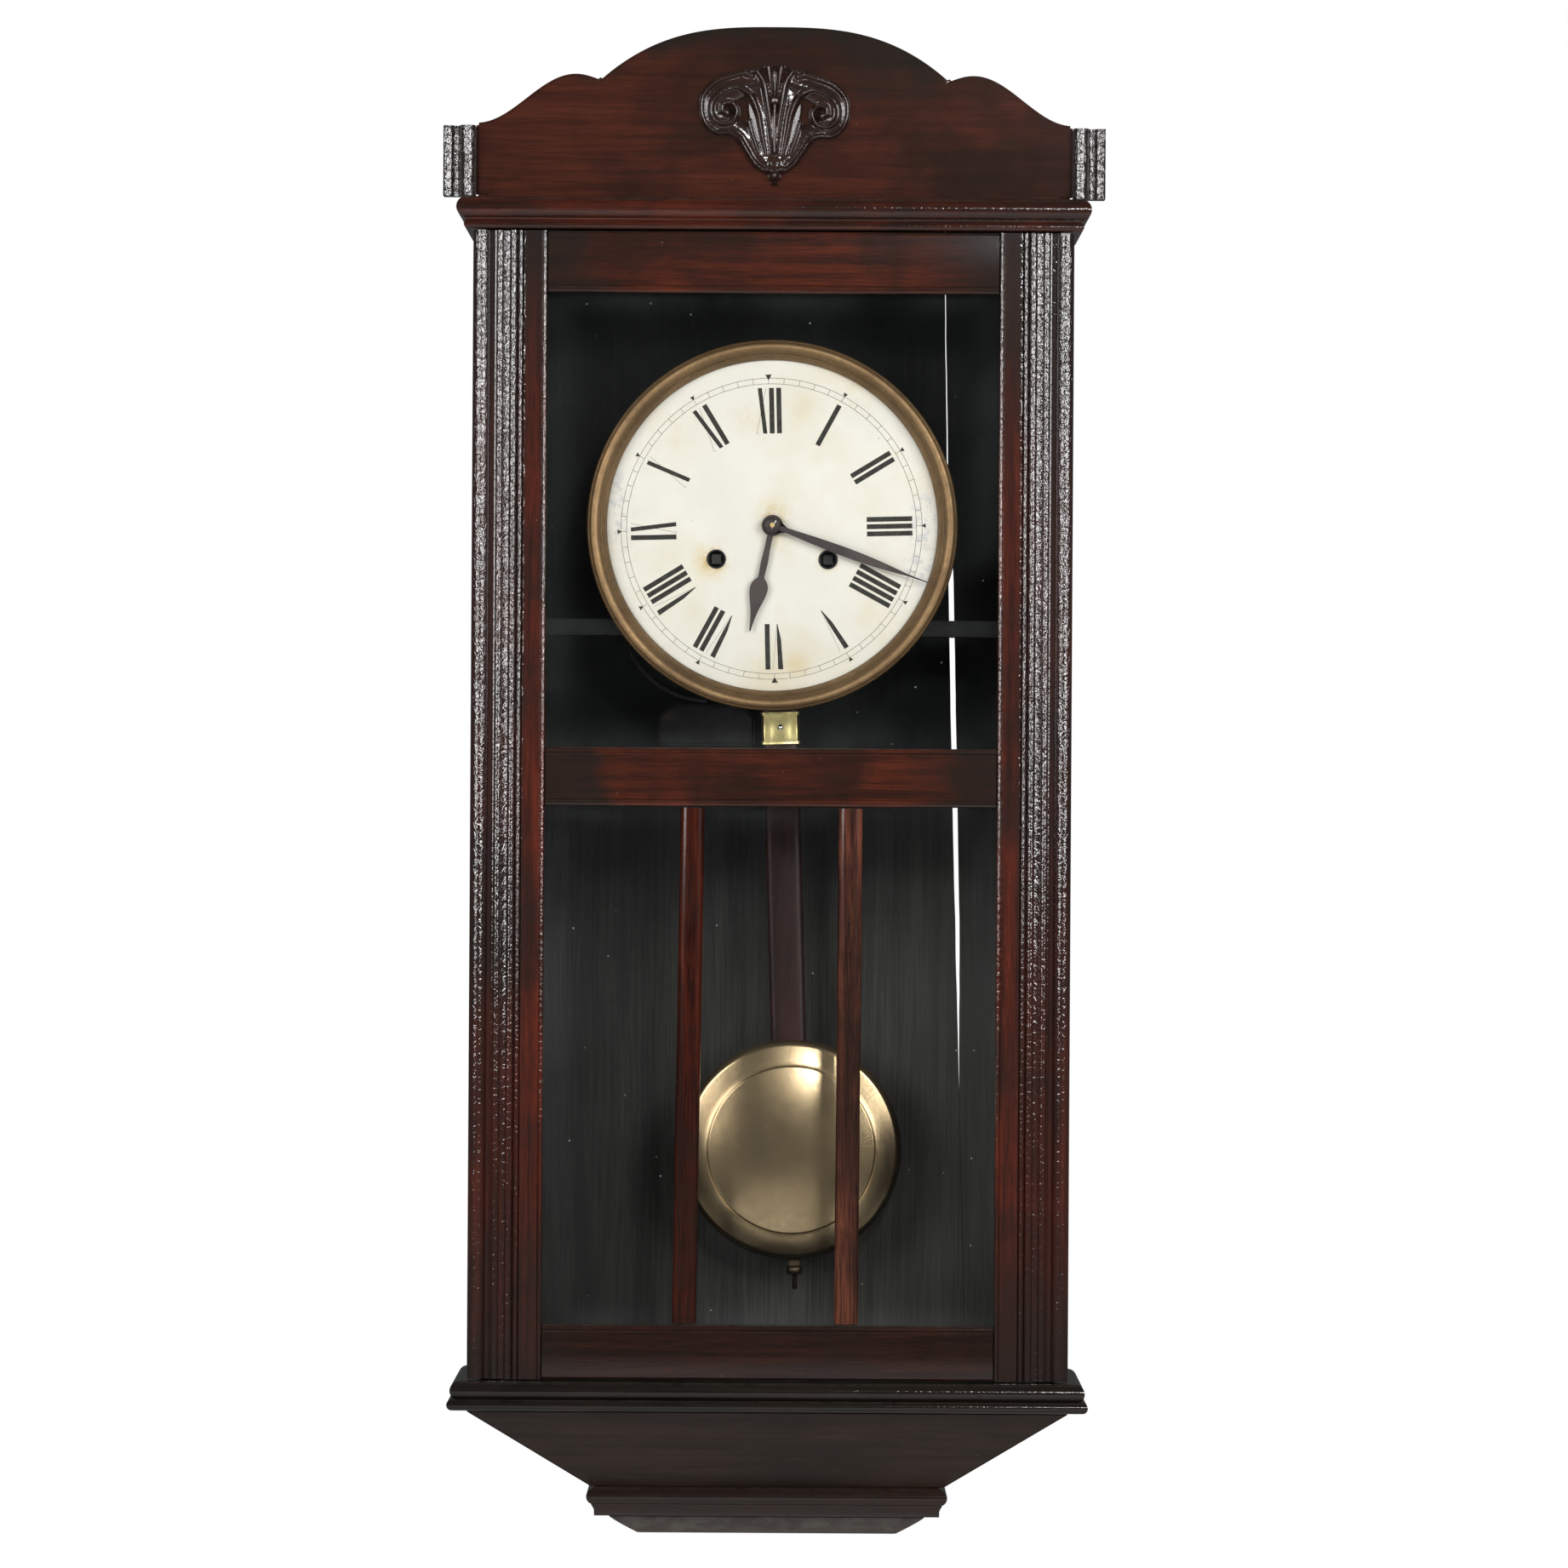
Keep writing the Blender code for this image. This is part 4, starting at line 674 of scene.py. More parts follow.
def back_boards():
    """Two boards with a wandering open joint between them."""
    wide, narrow = Box("back_board_wide"), Box("back_board_narrow")
    joint_low, joint_high = -303.0, 150.0
    joint_x, lean, bow = 92.6, 10.1 / 422.0, 0.9
    steps = 60
    heights = [wide.z0 + (wide.z1 - wide.z0) * i / steps for i in range(steps + 1)]

    def edge(z):
        """The edge of the wide board, which leans outward as it goes down."""
        wander = 0.22 * noise.noise(Vector((3.0, z * 0.045, 0.0)))
        arched = bow * math.sin(math.pi * (z - joint_low) / 423.0)
        return joint_x + lean * (119.7 - z) - arched + wander

    def width(z):
        """How far the joint has opened. It is shut at the foot and pinched behind the dial."""
        if z <= joint_low:
            return -0.02
        share = min((z - joint_low) / (joint_high - joint_low), 1.0)
        ease = min(share / 0.16, 1.0)
        pinch = 0.76 * min(max((z + 25.0) / 45.0, 0.0), 1.0)
        swollen = 2.8 * (1.0 - pinch) * ease * math.sin(math.pi * (0.12 + 0.76 * share)) ** 0.8
        return 0.1 + swollen + 0.12 * noise.noise(Vector((8.0, z * 0.07, 0.0)))

    left = prism([(wide.x0, wide.z1), (wide.x0, wide.z0)] + [(edge(z), z) for z in heights], "Y",
                 wide.y0, wide.y1)
    plate = Box("hanger_plate")
    hook_room = board((-7.0, 7.0), (-6.5, 1.0), (109.0, 132.0), 0.05)
    left = cut(soften(left, 0.35, 1, 50.0), plate.pocket((plate.y0 - FIT, 1.0)), hook_room)
    piece("back_board_left", left, PINE, "case", "back_board_wide")
    far = [(edge(z) + width(z), z) for z in heights]
    right = prism(far + [(narrow.x1, narrow.z1), (narrow.x1, narrow.z0)], "Y", narrow.y0, narrow.y1)
    piece("back_board_right", soften(right, 0.35, 1, 50.0), PINE, "case", "back_board_narrow")
    piece("seat_board_plank", Box("seat_board").board(0.9), PINE, "case", "seat_board")


def facing_back(x, y, z):
    """Turns a shape at the origin to look along +Y and moves it to a point."""
    return Matrix.Translation((x, y, z)) @ Matrix.Rotation(math.pi, 4, "Z")


def hanger():
    """The keyhole plate in the back and its two screws."""
    b = Box("hanger_plate")
    middle = 116.0
    plate = b.board(0.5)
    head = plug(5.5, -5.0, 3.0, centre=(0.0, 0.0, middle), segments=40)
    neck = board((-2.6, 2.6), (-5.0, 3.0), (middle, middle + 12.0), 0.05)
    piece("hanger_plate_keyhole", cut(plate, head, neck), HINGE_BRASS, "case", "hanger_plate")
    heads = []
    flatten = Matrix.Scale(0.28, 4, (0.0, 1.0, 0.0))
    for x in (-22.0, 22.0):
        seated = facing_back(x, b.y1, b.zm) @ flatten
        heads.append(moved(screw(0.0, 0.0, 0.0, 3.1, 35.0 + x), seated))
    piece("hanger_screws", merged(*heads), STEEL, "case")


def three_sides(name, node, profile, inner, front, wood):
    """A moulding of three lengths, mitred at the corners. profile is (projection, z)."""
    gap = 0.06
    left = [[(-inner - out, y - out * share, z) for out, z in profile]
            for y, share in ((0.0, 0.0), (front + gap, 1.0))]
    right = [[(-x, y, z) for x, y, z in loop] for loop in left]
    face = [[(side * (inner + out - gap), front - out, z) for out, z in profile] for side in (-1.0, 1.0)]
    for label, loops in (("left", left), ("front", face), ("right", right)):
        piece(f"{name}_{label}", bridge(loops), wood, "case", node)


def mouldings():
    """The cornice under the crest and the moulding round the foot of the case."""
    top, low = Box("cornice"), Box("base_moulding")
    shelf = Box("top_board")
    inner, front = shelf.x1 + 0.3, shelf.y0 - 0.3
    reach = top.x1 - inner
    torus_z = top.z1 - 5.9
    cornice = [(0.0, top.z1 - 0.5), (0.5, top.z1)]
    cornice += arc((reach - 5.7, torus_z), 5.7, 84.0, -84.0, 16)
    cornice += [(reach - 5.3, torus_z - 6.2), (reach - 5.1, torus_z - 6.8)]
    cornice += arc((reach - 6.1, top.z0 + 2.2), 2.2, 50.0, -80.0, 9)
    cornice += [(0.0, top.z0)]
    three_sides("cornice", "cornice", cornice, inner, front, WOOD["cornice"])
    reach = low.x1 - inner
    base = [(0.0, low.z1)]
    base += arc((reach - 6.6, low.z1 - 5.2), 5.0, 88.0, -70.0, 16)
    base += [(reach - 4.4, low.z1 - 9.9), (reach - 3.6, low.z1 - 10.2)]
    base += arc((reach - 3.0, low.z1 - 12.6), 3.0, 75.0, -85.0, 12)
    base += [(0.0, low.z0)]
    three_sides("base_moulding", "base_moulding", base, inner, front, WOOD["plinth"])


def hexahedron(top, bottom):
    """A board between two four-cornered faces."""
    return soften(bridge([bottom, top]), 0.7, 2, 25.0)


def apron_and_drop():
    """The tapered apron, the moulding under it and the small curved block at the foot."""
    b, block = Box("apron"), Box("drop_moulding")
    half, depth, low_half, low_depth, thick = b.x1, -b.y0, 94.0, 100.0, 10.0
    wall_gap = 0.2
    faces = []
    for h, d, z in ((half, depth, b.z1), (low_half, low_depth, b.z0)):
        inside = h - thick + 0.05
        right = [(h, -wall_gap, z), (h, -d + 0.1, z), (inside, thick - d + 0.1, z), (inside, -wall_gap, z)]
        front = [(-h, -d, z), (h, -d, z), (h - thick, thick - d, z), (thick - h, thick - d, z)]
        faces.append({"front": front, "left": [(-x, y, z) for x, y, z in right], "right": right})
    for label in ("front", "left", "right"):
        piece(f"apron_{label}", hexahedron(faces[0][label], faces[1][label]), WOOD["apron"], "case", "apron")
    top, inner_x, inner_y = block.z1, block.x1 - 4.8, -block.y0 - 4.8
    profile = [(0.6, top)] + arc((0.4, top - 5.2), 4.4, 72.0, -66.0, 14)
    profile += [(2.0, top - 9.9), (1.2, top - 11.2), (0.7, top - 12.4), (0.6, block.z0)]
    rings = []
    for out, z in profile:
        x, y = inner_x + out, -inner_y - out
        rings.append([(-x, -wall_gap, z), (x, -wall_gap, z), (x, y, z), (-x, y, z)])
    piece("drop_moulding_slab", bridge(rings), WOOD["moulding"], "case", "drop_moulding",
          28.0)
    d = Box("drop_block")
    rings = []
    for share in range(9):
        t = share / 8.0
        curve = 15.5 * t ** 1.15
        z = d.z1 + (d.z0 - d.z1) * t
        x0, x1, y = d.x0 + curve, d.x1 - curve, d.y0 + curve * 0.9
        rings.append([(x0, -wall_gap, z), (x1, -wall_gap, z), (x1, y, z), (x0, y, z)])
    piece("drop_block_foot", soften(bridge(rings), 0.8, 3, 40.0), DUSTY, "case", "drop_block")


def crest_outline(b):
    """The right half of the crest's upper edge: an arch, a notch, a low hump and an ogee."""
    arch_half, arch_rise, notch = 92.0, 28.4, 234.0
    points = []
    for i in range(33):
        share = i / 32.0
        points.append((arch_half * share, b.z1 - arch_rise * share ** 2.9))
    hump, hump_z, end_z = 105.0, 237.2, 211.0
    for i in range(1, 9):
        share = i / 8.0
        rise = math.sin(share * math.pi / 2.0)
        points.append((arch_half + (hump - arch_half) * share, notch + (hump_z - notch) * rise))
    for i in range(1, 25):
        share = i / 24.0
        fall = (1.0 - math.cos(math.pi * share)) / 2.0
        points.append((hump + (b.x1 - hump) * share, hump_z + (end_z - hump_z) * fall))
    return points


def crest():
    """The shaped crest board and the moulded block at each of its ends."""
    b, cornice = Box("crest_board"), Box("cornice")
    half = crest_outline(b)
    top = [(-x, z) for x, z in reversed(half[1:])] + half
    foot = Box("side_right").x1
    shoulder = cornice.z1 + 0.3
    right = [(b.x1, shoulder), (foot, shoulder), (foot, b.z0)]
    left = [(-x, z) for x, z in reversed(right)]
    shape = soften(prism(right + left + top, "Y", b.y0, b.y1), 1.3, 4, 45.0)
    piece("crest_board_shaped", shape, WOOD["crest"], "case", "crest_board")
    for name, side in (("crest_block_left", -1.0), ("crest_block_right", 1.0)):
        k = Box(name)
        inner, width, front = (k.x0 if side > 0 else -k.x1), k.x1 - k.x0, b.y0
        moulded = arc((3.9, 3.6), 3.9, 180.0, 10.0, 14) + [(8.3, 1.2)]
        moulded += arc((10.2, 1.9), 2.4, 200.0, 300.0, 6)
        moulded += [(12.0, 0.4), (12.6, 2.0), (13.4, 2.5), (width - 0.8, 2.6), (width, 2.0)]
        plan = [(0.0, b.y0 - k.y1)] + moulded + [(width, b.y0 - k.y1)]
        outline = [(side * (inner + out), front - proud) for out, proud in plan]
        piece(name + "_moulded", soften(prism(outline, "Z", k.z0, k.z1), 0.7, 3, 50.0), WOOD["stile"],
              "case", name)


def carving():
    """The applied leaf between two scrolls.

    It is raised from the board by rounded strokes through (x, z, half width, height) points.
    """
    b = Box("crest_carving")
    left = [
        [(-5.0, 234.0, 5.0, 2.4), (-16.0, 231.0, 5.5, 2.4), (-27.0, 226.5, 6.5, 2.2),
         (-32.8, 218.5, 6.4, 2.0), (-30.0, 211.5, 5.0, 2.0), (-24.0, 210.5, 4.0, 2.0),
         (-18.0, 207.0, 5.0, 2.0), (-10.5, 198.0, 5.5, 2.0), (-4.0, 190.0, 5.0, 2.2)],
        [(-2.0, 236.0, 6.0, 2.0), (-7.0, 224.0, 7.5, 2.0), (-6.0, 210.0, 7.0, 2.0),
         (-2.0, 194.0, 6.0, 2.0)],
        [(-8.0, 239.6, 1.0, 3.4), (-19.5, 237.2, 1.5, 3.8), (-31.0, 233.2, 1.5, 3.4),
         (-37.6, 225.6, 1.4, 3.2), (-38.4, 217.0, 1.4, 3.2), (-35.6, 210.4, 1.3, 3.2),
         (-30.0, 206.4, 1.3, 3.2), (-23.6, 206.4, 1.4, 3.4), (-18.6, 203.6, 1.4, 3.6),
         (-14.6, 197.0, 1.5, 3.8), (-10.4, 190.6, 1.4, 3.6), (-4.6, 185.8, 1.3, 3.2)],
        [(-20.0, 230.6, 1.2, 3.8), (-27.0, 228.4, 1.5, 4.2), (-32.6, 223.0, 1.6, 4.4),
         (-33.2, 216.0, 1.6, 4.6), (-28.8, 211.4, 1.6, 4.6), (-22.6, 212.2, 1.6, 4.8),
         (-19.8, 217.2, 1.6, 5.0), (-22.4, 222.0, 1.5, 5.0), (-27.0, 221.4, 1.5, 5.2),
         (-27.6, 217.6, 1.5, 5.4)],
        [(-25.2, 217.2, 2.3, 5.0), (-25.0, 216.6, 2.3, 5.0)],
        [(-20.0, 230.6, 1.4, 4.4), (-13.4, 226.6, 1.8, 4.8), (-9.0, 217.0, 1.6, 4.6),
         (-6.8, 206.0, 1.3, 4.0), (-4.6, 195.0, 1.0, 3.2)],
        [(-9.6, 239.2, 1.4, 4.4), (-5.8, 233.0, 1.9, 5.6), (-3.8, 222.0, 1.9, 5.8), (-2.0, 209.0, 1.6, 5.0),
         (-1.0, 196.0, 1.1, 3.8)],
        [(-3.4, 241.0, 2.2, 5.4), (-2.6, 234.0, 1.7, 5.0), (-1.8, 226.0, 1.2, 4.0)],
        [(-15.4, 238.0, 2.2, 4.4), (-12.0, 236.4, 1.8, 4.0)],
        [(-13.6, 212.6, 1.1, 3.6), (-11.6, 205.0, 1.1, 3.6), (-8.6, 196.0, 0.9, 3.2)],
    ]
    middle = [[(0.0, 221.0, 1.5, 4.6), (-0.2, 208.0, 1.7, 5.2), (0.0, 196.0, 1.5, 4.8)],
              [(0.0, 190.0, 4.4, 3.4), (0.0, 186.0, 3.6, 4.2)],
              [(0.0, 184.0, 3.2, 6.4), (0.0, 183.6, 3.2, 6.4)],
              [(-4.2, 187.0, 1.8, 4.2), (4.2, 187.0, 1.8, 4.2)],
              [(0.0, 180.6, 1.7, 3.2), (0.0, 180.0, 1.6, 3.0)]]

    def mirrored(x, z, half, high):
        """The same point on the right, where the outer scroll hangs a little lower."""
        return (-x, z - 1.6 * min(max((-x - 8.0) / 14.0, 0.0), 1.0), half, high)

    right = [[mirrored(*point) for point in stroke] for stroke in left]
    step = 0.42
    columns, rows = int((b.x1 - b.x0) / step), int((b.z1 - b.z0) / step)
    across = np.linspace(b.x0, b.x1, columns + 1)[:, None]
    upright = np.linspace(b.z0, b.z1, rows + 1)[None, :]
    height = np.zeros((columns + 1, rows + 1))
    for stroke in left + right + middle:
        along = smooth_path([(x, 0.0, z) for x, z, half, high in stroke], 12)
        spread = smooth_path([(half, 0.0, high) for x, z, half, high in stroke], 12)
        for spot, shape in zip(along, spread):
            share = 1.0 - ((across - spot.x) ** 2 + (upright - spot.z) ** 2) / shape.x ** 2
            height = np.maximum(height, shape.z * np.sqrt(np.maximum(share, 0.0)))
    for smoothing in range(2):
        beside = height[2:, 1:-1] + height[:-2, 1:-1] + height[1:-1, 2:] + height[1:-1, :-2]
        height[1:-1, 1:-1] = (height[1:-1, 1:-1] * 4.0 + beside) / 8.0
    height = np.minimum(height, b.y1 - b.y0 - 0.05)
    bm = bmesh.new()
    verts = {}

    def corner(i, j, raised):
        key = (i, j, raised)
        if key not in verts:
            y = b.y1 - (height[i, j] if raised else 0.0)
            verts[key] = bm.verts.new((across[i, 0], y, upright[0, j]))
        return verts[key]

    solid = (height[:-1, :-1] + height[1:, :-1] + height[:-1, 1:] + height[1:, 1:]) > 1.2
    for i in range(columns):
        for j in range(rows):
            if not solid[i, j]:
                continue
            ring = [(i, j), (i + 1, j), (i + 1, j + 1), (i, j + 1)]
            bm.faces.new([corner(*spot, True) for spot in ring])
            bm.faces.new([corner(*spot, False) for spot in reversed(ring)])
            beside = ((i, j - 1), (i + 1, j), (i, j + 1), (i - 1, j))
            for side, (u, v) in enumerate(beside):
                if 0 <= u < columns and 0 <= v < rows and solid[u, v]:
                    continue
                first, last = ring[side], ring[(side + 1) % 4]
                bm.faces.new([corner(*last, True), corner(*first, True), corner(*first, False),
                              corner(*last, False)])
    piece("crest_leaf_and_scrolls", bm, WOOD["leaf"], "case", "crest_carving", 75.0)


# ---------------------------------------------------------------- door

def door():
    """The door: moulded stiles, three rails, two panes in beads, two bars and the hinge screws."""
    left = Box("door_stile_left")
    edge, front, back = -left.x0, left.y0, left.y1
    width = left.x1 - left.x0
    rebate, rebate_face = 5.0, Box("upper_glass").y0 - FIT
    # The moulded face, as (distance from the outer edge, depth) points.
    face = [(0.2, 5.6)] + arc((4.5, 4.6), 4.5, 180.0, 360.0, 20)[1:-1]
    face = [(u, d) for u, d in face if d <= 5.6]
    face += [(9.0, 3.5), (9.4, 3.9), (11.2, 3.9), (11.7, 3.3)]
    face += swell(12.2, 4.3, 3.2, 0.9) + [(17.0, 3.2), (19.0, 3.2)] + swell(19.4, 4.1, 3.0, 0.9)
    face += swell(23.9, 2.9, 2.8, 0.9)[1:] + [(27.2, 1.35), (36.5, 1.25), (36.9, 1.6)]
    face += swell(37.1, 2.0, 1.4, 0.5, 8)
    face += [(width - 0.15, 2.0), (width, 3.2)]
    outline = [(u, front + d) for u, d in face]
    outline += [(width, rebate_face), (width - rebate, rebate_face), (width - rebate, back), (0.6, back),
                (0.0, back - 0.6)]
    for name, side in (("door_stile_left", -1.0), ("door_stile_right", 1.0)):
        b = Box(name)
        shape = prism([(side * (edge - u), y) for u, y in outline], "Z", b.z0, b.z1)
        shape = soften(shape, 0.45, 2, 60.0)
        if side > 0.0:
            for level in ("upper", "lower"):
                leaf = Box("hinge_door_leaf_" + level)
                shape = cut(shape, leaf.pocket((back - 1.5, back + 1.0)))
        piece(name + "_moulded", shape, WOOD["stile"], "door", name, 40.0)
    half = edge - width - FIT
    glass_up, glass_low = Box("upper_glass"), Box("lower_glass")
    rails = (("door_top_rail", True, False, (glass_up.z1 + 0.6, Box("door_top_rail").z1)),
             ("door_middle_rail", True, True, (glass_low.z1 + 0.6, glass_up.z0 - 0.6)),
             ("door_bottom_rail", False, True, (Box("door_bottom_rail").z0, glass_low.z0 - 0.6)))
    corner, groove = 1.6, [(0.0, 2.5), (0.45, 2.9), (0.45, 3.5), (0.0, 3.9)]
    for name, lip_low, lip_high, back_z in rails:
        b = Box(name)
        rounded = b.y0 + corner
        profile = [(rebate_face, b.z0), (rounded, b.z0)]
        profile += arc((rounded, b.z0 + corner), corner, 270.0, 180.0, 6)
        if lip_low:
            profile += [(b.y0 + depth, b.z0 + height) for depth, height in groove]
        if lip_high:
            profile += [(b.y0 + depth, b.z1 - height) for depth, height in reversed(groove)]
        profile += arc((rounded, b.z1 - corner), corner, 180.0, 90.0, 6)
        profile += [(rounded, b.z1), (rebate_face, b.z1)]
        front_part = prism(profile, "X", -half, half)
        rear = board((b.x0, b.x1), (rebate_face + 0.02, b.y1), back_z, 0.3)
        wood = WOOD["low_rail" if name == "door_bottom_rail" else "rail"]
        piece(name + "_moulded", merged(front_part, rear), wood, "door", name, 40.0)
    for name in ("upper_glass", "lower_glass"):
        b = Box(name)
        piece(name + "_pane", b.board(0.2), old_glass(name + "_film", b), "door", name)
        beads = []
        depth = (b.y1 + 0.15, b.y1 + 4.6)
        section = [(0.0, depth[0]), (4.3, depth[0]), (4.3, depth[0] + 1.6), (2.6, depth[1] - 0.7),
                   (1.0, depth[1]), (0.0, depth[1])]
        for side in (-1.0, 1.0):
            x = (b.x1 + 0.2) if side > 0 else (b.x0 - 0.2)
            beads.append(prism([(x - side * inward, y) for inward, y in section], "Z", b.z0, b.z1))
            z = (b.z1 + 0.2) if side > 0 else (b.z0 - 0.2)
            beads.append(prism([(y, z - side * inward) for inward, y in section], "X", b.x0 + 4.4,
                               b.x1 - 4.4))
        piece(name + "_glazing_beads", merged(*beads), WOOD["bar"], "door")
    bars = (("door_mullion_left", -42.6, 0.65, "bar"), ("door_mullion_right", 41.8, 0.2, "worn_bar"))
    for name, x, lean, wood in bars:
        b = Box(name)
        half_bar, rear = 6.3, b.y1
        rounding = [(-half_bar, 2.2), (-5.7, 1.2), (-4.5, 0.5), (-3.2, 0.15)]
        section = [(-half_bar, rear)] + [(u, b.y0 + depth) for u, depth in rounding] + [(0.0, b.y0)]
        section += [(-u, y) for u, y in reversed(section[:-1])]
        bar = prism(section, "Z", b.z0 - b.zm + 0.1, b.zm - b.z0 - 0.1)
        turn = Matrix.Translation((x, 0.0, b.zm)) @ Matrix.Rotation(math.radians(lean), 4, "Y")
        piece(name + "_bar", moved(soften(bar, 0.3, 2, 50.0), turn), WOOD[wood], "door", name)
    spread = (-17.0, 0.0, 17.0)
    for level in ("upper", "lower"):
        case_leaf, door_leaf = Box("hinge_case_leaf_" + level), Box("hinge_door_leaf_" + level)
        heads = [screw(148.2, case_leaf.zm + dz, -127.9, 1.7, 30.0 + dz * 7.0, 0.35) for dz in spread]
        piece(f"hinge_case_screws_{level}", merged(*heads), HINGE_BRASS, "case")
        heads = []
        for dz in spread:
            head = screw(0.0, 0.0, 0.0, 1.7, 50.0 + dz * 5.0, 0.35)
            heads.append(moved(head, facing_back(150.2, -128.7, door_leaf.zm + dz)))
        piece(f"hinge_door_screws_{level}", merged(*heads), HINGE_BRASS, "door")


# ---------------------------------------------------------------- dial and hands

NUMERALS = ("XII", "I", "II", "III", "IIII", "V", "VI", "VII", "VIII", "IX", "X", "XI")
HOUR_ANGLE, MINUTE_ANGLE = 191.7, 109.9
# The printing sits a little off the centre of the dial and is turned a little.
DIAL_TURN = -1.5
HEAVY_INK, HAIR_INK = 0.06, 0.05
PRINT_SHIFT = Matrix.Translation((-0.4, 0.0, -1.7))


def printed(degrees):
    """Turns a mark that stands at twelve to its place in the printing."""
    return PRINT_SHIFT @ Matrix.Rotation(math.radians(degrees + DIAL_TURN), 4, "Y")


def inked(outlines, y, lift, turn):
    """Thin raised marks on the face at y."""
    return [moved(prism(outline, "Y", y - lift, y + 0.05), turn) for outline in outlines]


def numeral(text, hour, y):
    """The heavy and the hairline strokes of a roman numeral, with its foot toward the centre."""
    low, high, bar, gap = 50.6, 74.8, 2.6, 1.25
    wide = {"I": bar, "V": 5.6, "X": 5.4}
    start = -(sum(wide[c] for c in text) + gap * (len(text) - 1)) / 2.0
    heavy, hair = [], []
    for c in text:
        end = start + wide[c]
        if c == "I":
            heavy.append([(start, low), (end, low), (end, high), (start, high)])
        elif c == "V":
            tip = (start + end) / 2.0
            inner = [(tip - 0.15, low), (tip + 0.15, low), (tip + 0.25, low + 8.5), (start + 2.7, high)]
            heavy.append(inner + [(start, high), (tip - 1.9, low + 8.5)])
            hair.append([(tip, low), (tip + 0.22, low), (end, high), (end - 0.22, high)])
        else:
            heavy.append([(end - 2.25, low), (end - 0.05, low), (start + 2.9, high), (start + 0.7, high)])
            hair.append([(start - 0.4, low), (start - 0.15, low), (end - 0.15, high), (end - 0.4, high)])
            hair.append([(start - 0.5, low), (start + 1.0, low), (start + 1.0, low + 0.2),
                         (start - 0.5, low + 0.2)])
        start = end + gap
    turn = printed(30.0 * hour)
    return inked(heavy, y, HEAVY_INK, turn), inked(hair, y, HAIR_INK, turn)


def dial():
    """The painted plate with its printing, feet, rolled bezel and winding collets, whose black tubes line the
    holes as painted shade.
    """
    b = Box("dial_plate")
    front = b.y0
    back, edge = front + 1.0, b.x1
    disc = [(0.0, front), (edge - 0.5, front), (edge, front + 0.3), (edge, back), (0.0, back)]
    plate = turned(disc, segments=128)
    holes = [(0.0, 0.0, 4.0), (-WINDING_X, WINDING_Z, 5.2), (WINDING_X, WINDING_Z, 5.2)]
    tools = [plug(r, front - 2.0, front + 3.0, centre=(x, 0.0, z), segments=40) for x, z, r in holes]
    plate = cut(plate, *tools)
    piece("dial_painted_plate", plate, dial_paint("cream_dial_paint"), "case", "dial_plate")
    foot = [(0.0, b.y1), (1.4, b.y1), (2.0, b.y1 - 0.6), (2.0, back + 0.5), (3.0, back), (0.0, back)]
    feet = [turned(foot, centre=(x, 0.0, z), segments=20) for x in (-44.0, 44.0) for z in (-36.0, 40.0)]
    piece("dial_feet", merged(*feet), PLATE_BRASS, "case")
    heavy, hair = [], []
    for hour, text in enumerate(NUMERALS):
        strokes = numeral(text, hour, front)
        heavy += strokes[0]
        hair += strokes[1]
    marks = []
    track_low, track_high = 77.0, 80.0
    for minute in range(60):
        turn = printed(6.0 * minute)
        tick = [(-0.16, track_low), (0.16, track_low), (0.16, track_high), (-0.16, track_high)]
        hair += inked([tick], front, HAIR_INK, turn)
        if minute % 5 == 0:
            size = 1.35 if minute % 30 == 0 else 1.0
            base = track_high + 1.9
            arrow = [(-1.25 * size, base), (1.25 * size, base), (0.0, base - 2.3 * size)]
            marks += inked([arrow], front, HEAVY_INK, turn)
    for radius in (track_low, track_high):
        inner, outer = radius - 0.17, radius + 0.17
        proud, sunk = front - HAIR_INK, front + 0.05
        rim = [(inner, proud), (outer, proud), (outer, sunk), (inner, sunk)]
        hair.append(moved(turned(rim + rim[:1], segments=180), PRINT_SHIFT))
    piece("dial_numerals", merged(*heavy, *marks), print_ink("numeral_ink", (0.022, 0.021, 0.018), 0.05),
          "case")
    piece("dial_minute_track", merged(*hair), print_ink("faded_ink", (0.20, 0.19, 0.16), 0.40), "case")
    z = Box("dial_bezel")
    outer, sight = z.x1, 87.8
    lip, top = z.y1, z.y0
    roll = [(sight + 0.6, lip), (sight, lip - 0.7), (sight + 0.2, lip - 1.6), (sight + 1.4, lip - 3.6),
            (sight + 2.9, top + 3.4), (sight + 3.2, top + 3.3), (sight + 3.4, top + 3.5),
            (sight + 3.6, top + 2.4), (sight + 4.0, top + 1.6), (sight + 4.8, top + 0.85),
            (sight + 5.8, top + 0.3), (sight + 6.8, top + 0.03), (sight + 7.7, top + 0.1),
            (sight + 8.6, top + 0.5), (sight + 9.2, top + 1.05), (sight + 9.45, top + 1.7),
            (sight + 9.6, top + 1.75), (sight + 9.9, top + 1.3), (sight + 10.3, top + 1.5),
            (outer - 0.1, top + 2.4), (outer, top + 5.0), (outer - 0.2, lip - 3.0), (outer - 0.9, lip)]
    piece("dial_bezel_rolled", turned(roll + roll[:1], segments=160), COPPERY, "case", "dial_bezel",
          50.0)
    # painted shade: black tubes lining the winding holes keep them dark inside
    for name, x in (("going", WINDING_X), ("strike", -WINDING_X)):
        collet = [(5.15, front - 0.25), (4.5, front - 0.35), (4.3, front), (4.3, front + 11.0),
                  (5.0, front + 11.0), (5.15, front + 1.0)]
        piece(f"{name}_winding_collet_shade_tube", turned(collet + collet[:1], centre=(x, 0.0, WINDING_Z), segments=40),
              SHADE_BLACK, "case")


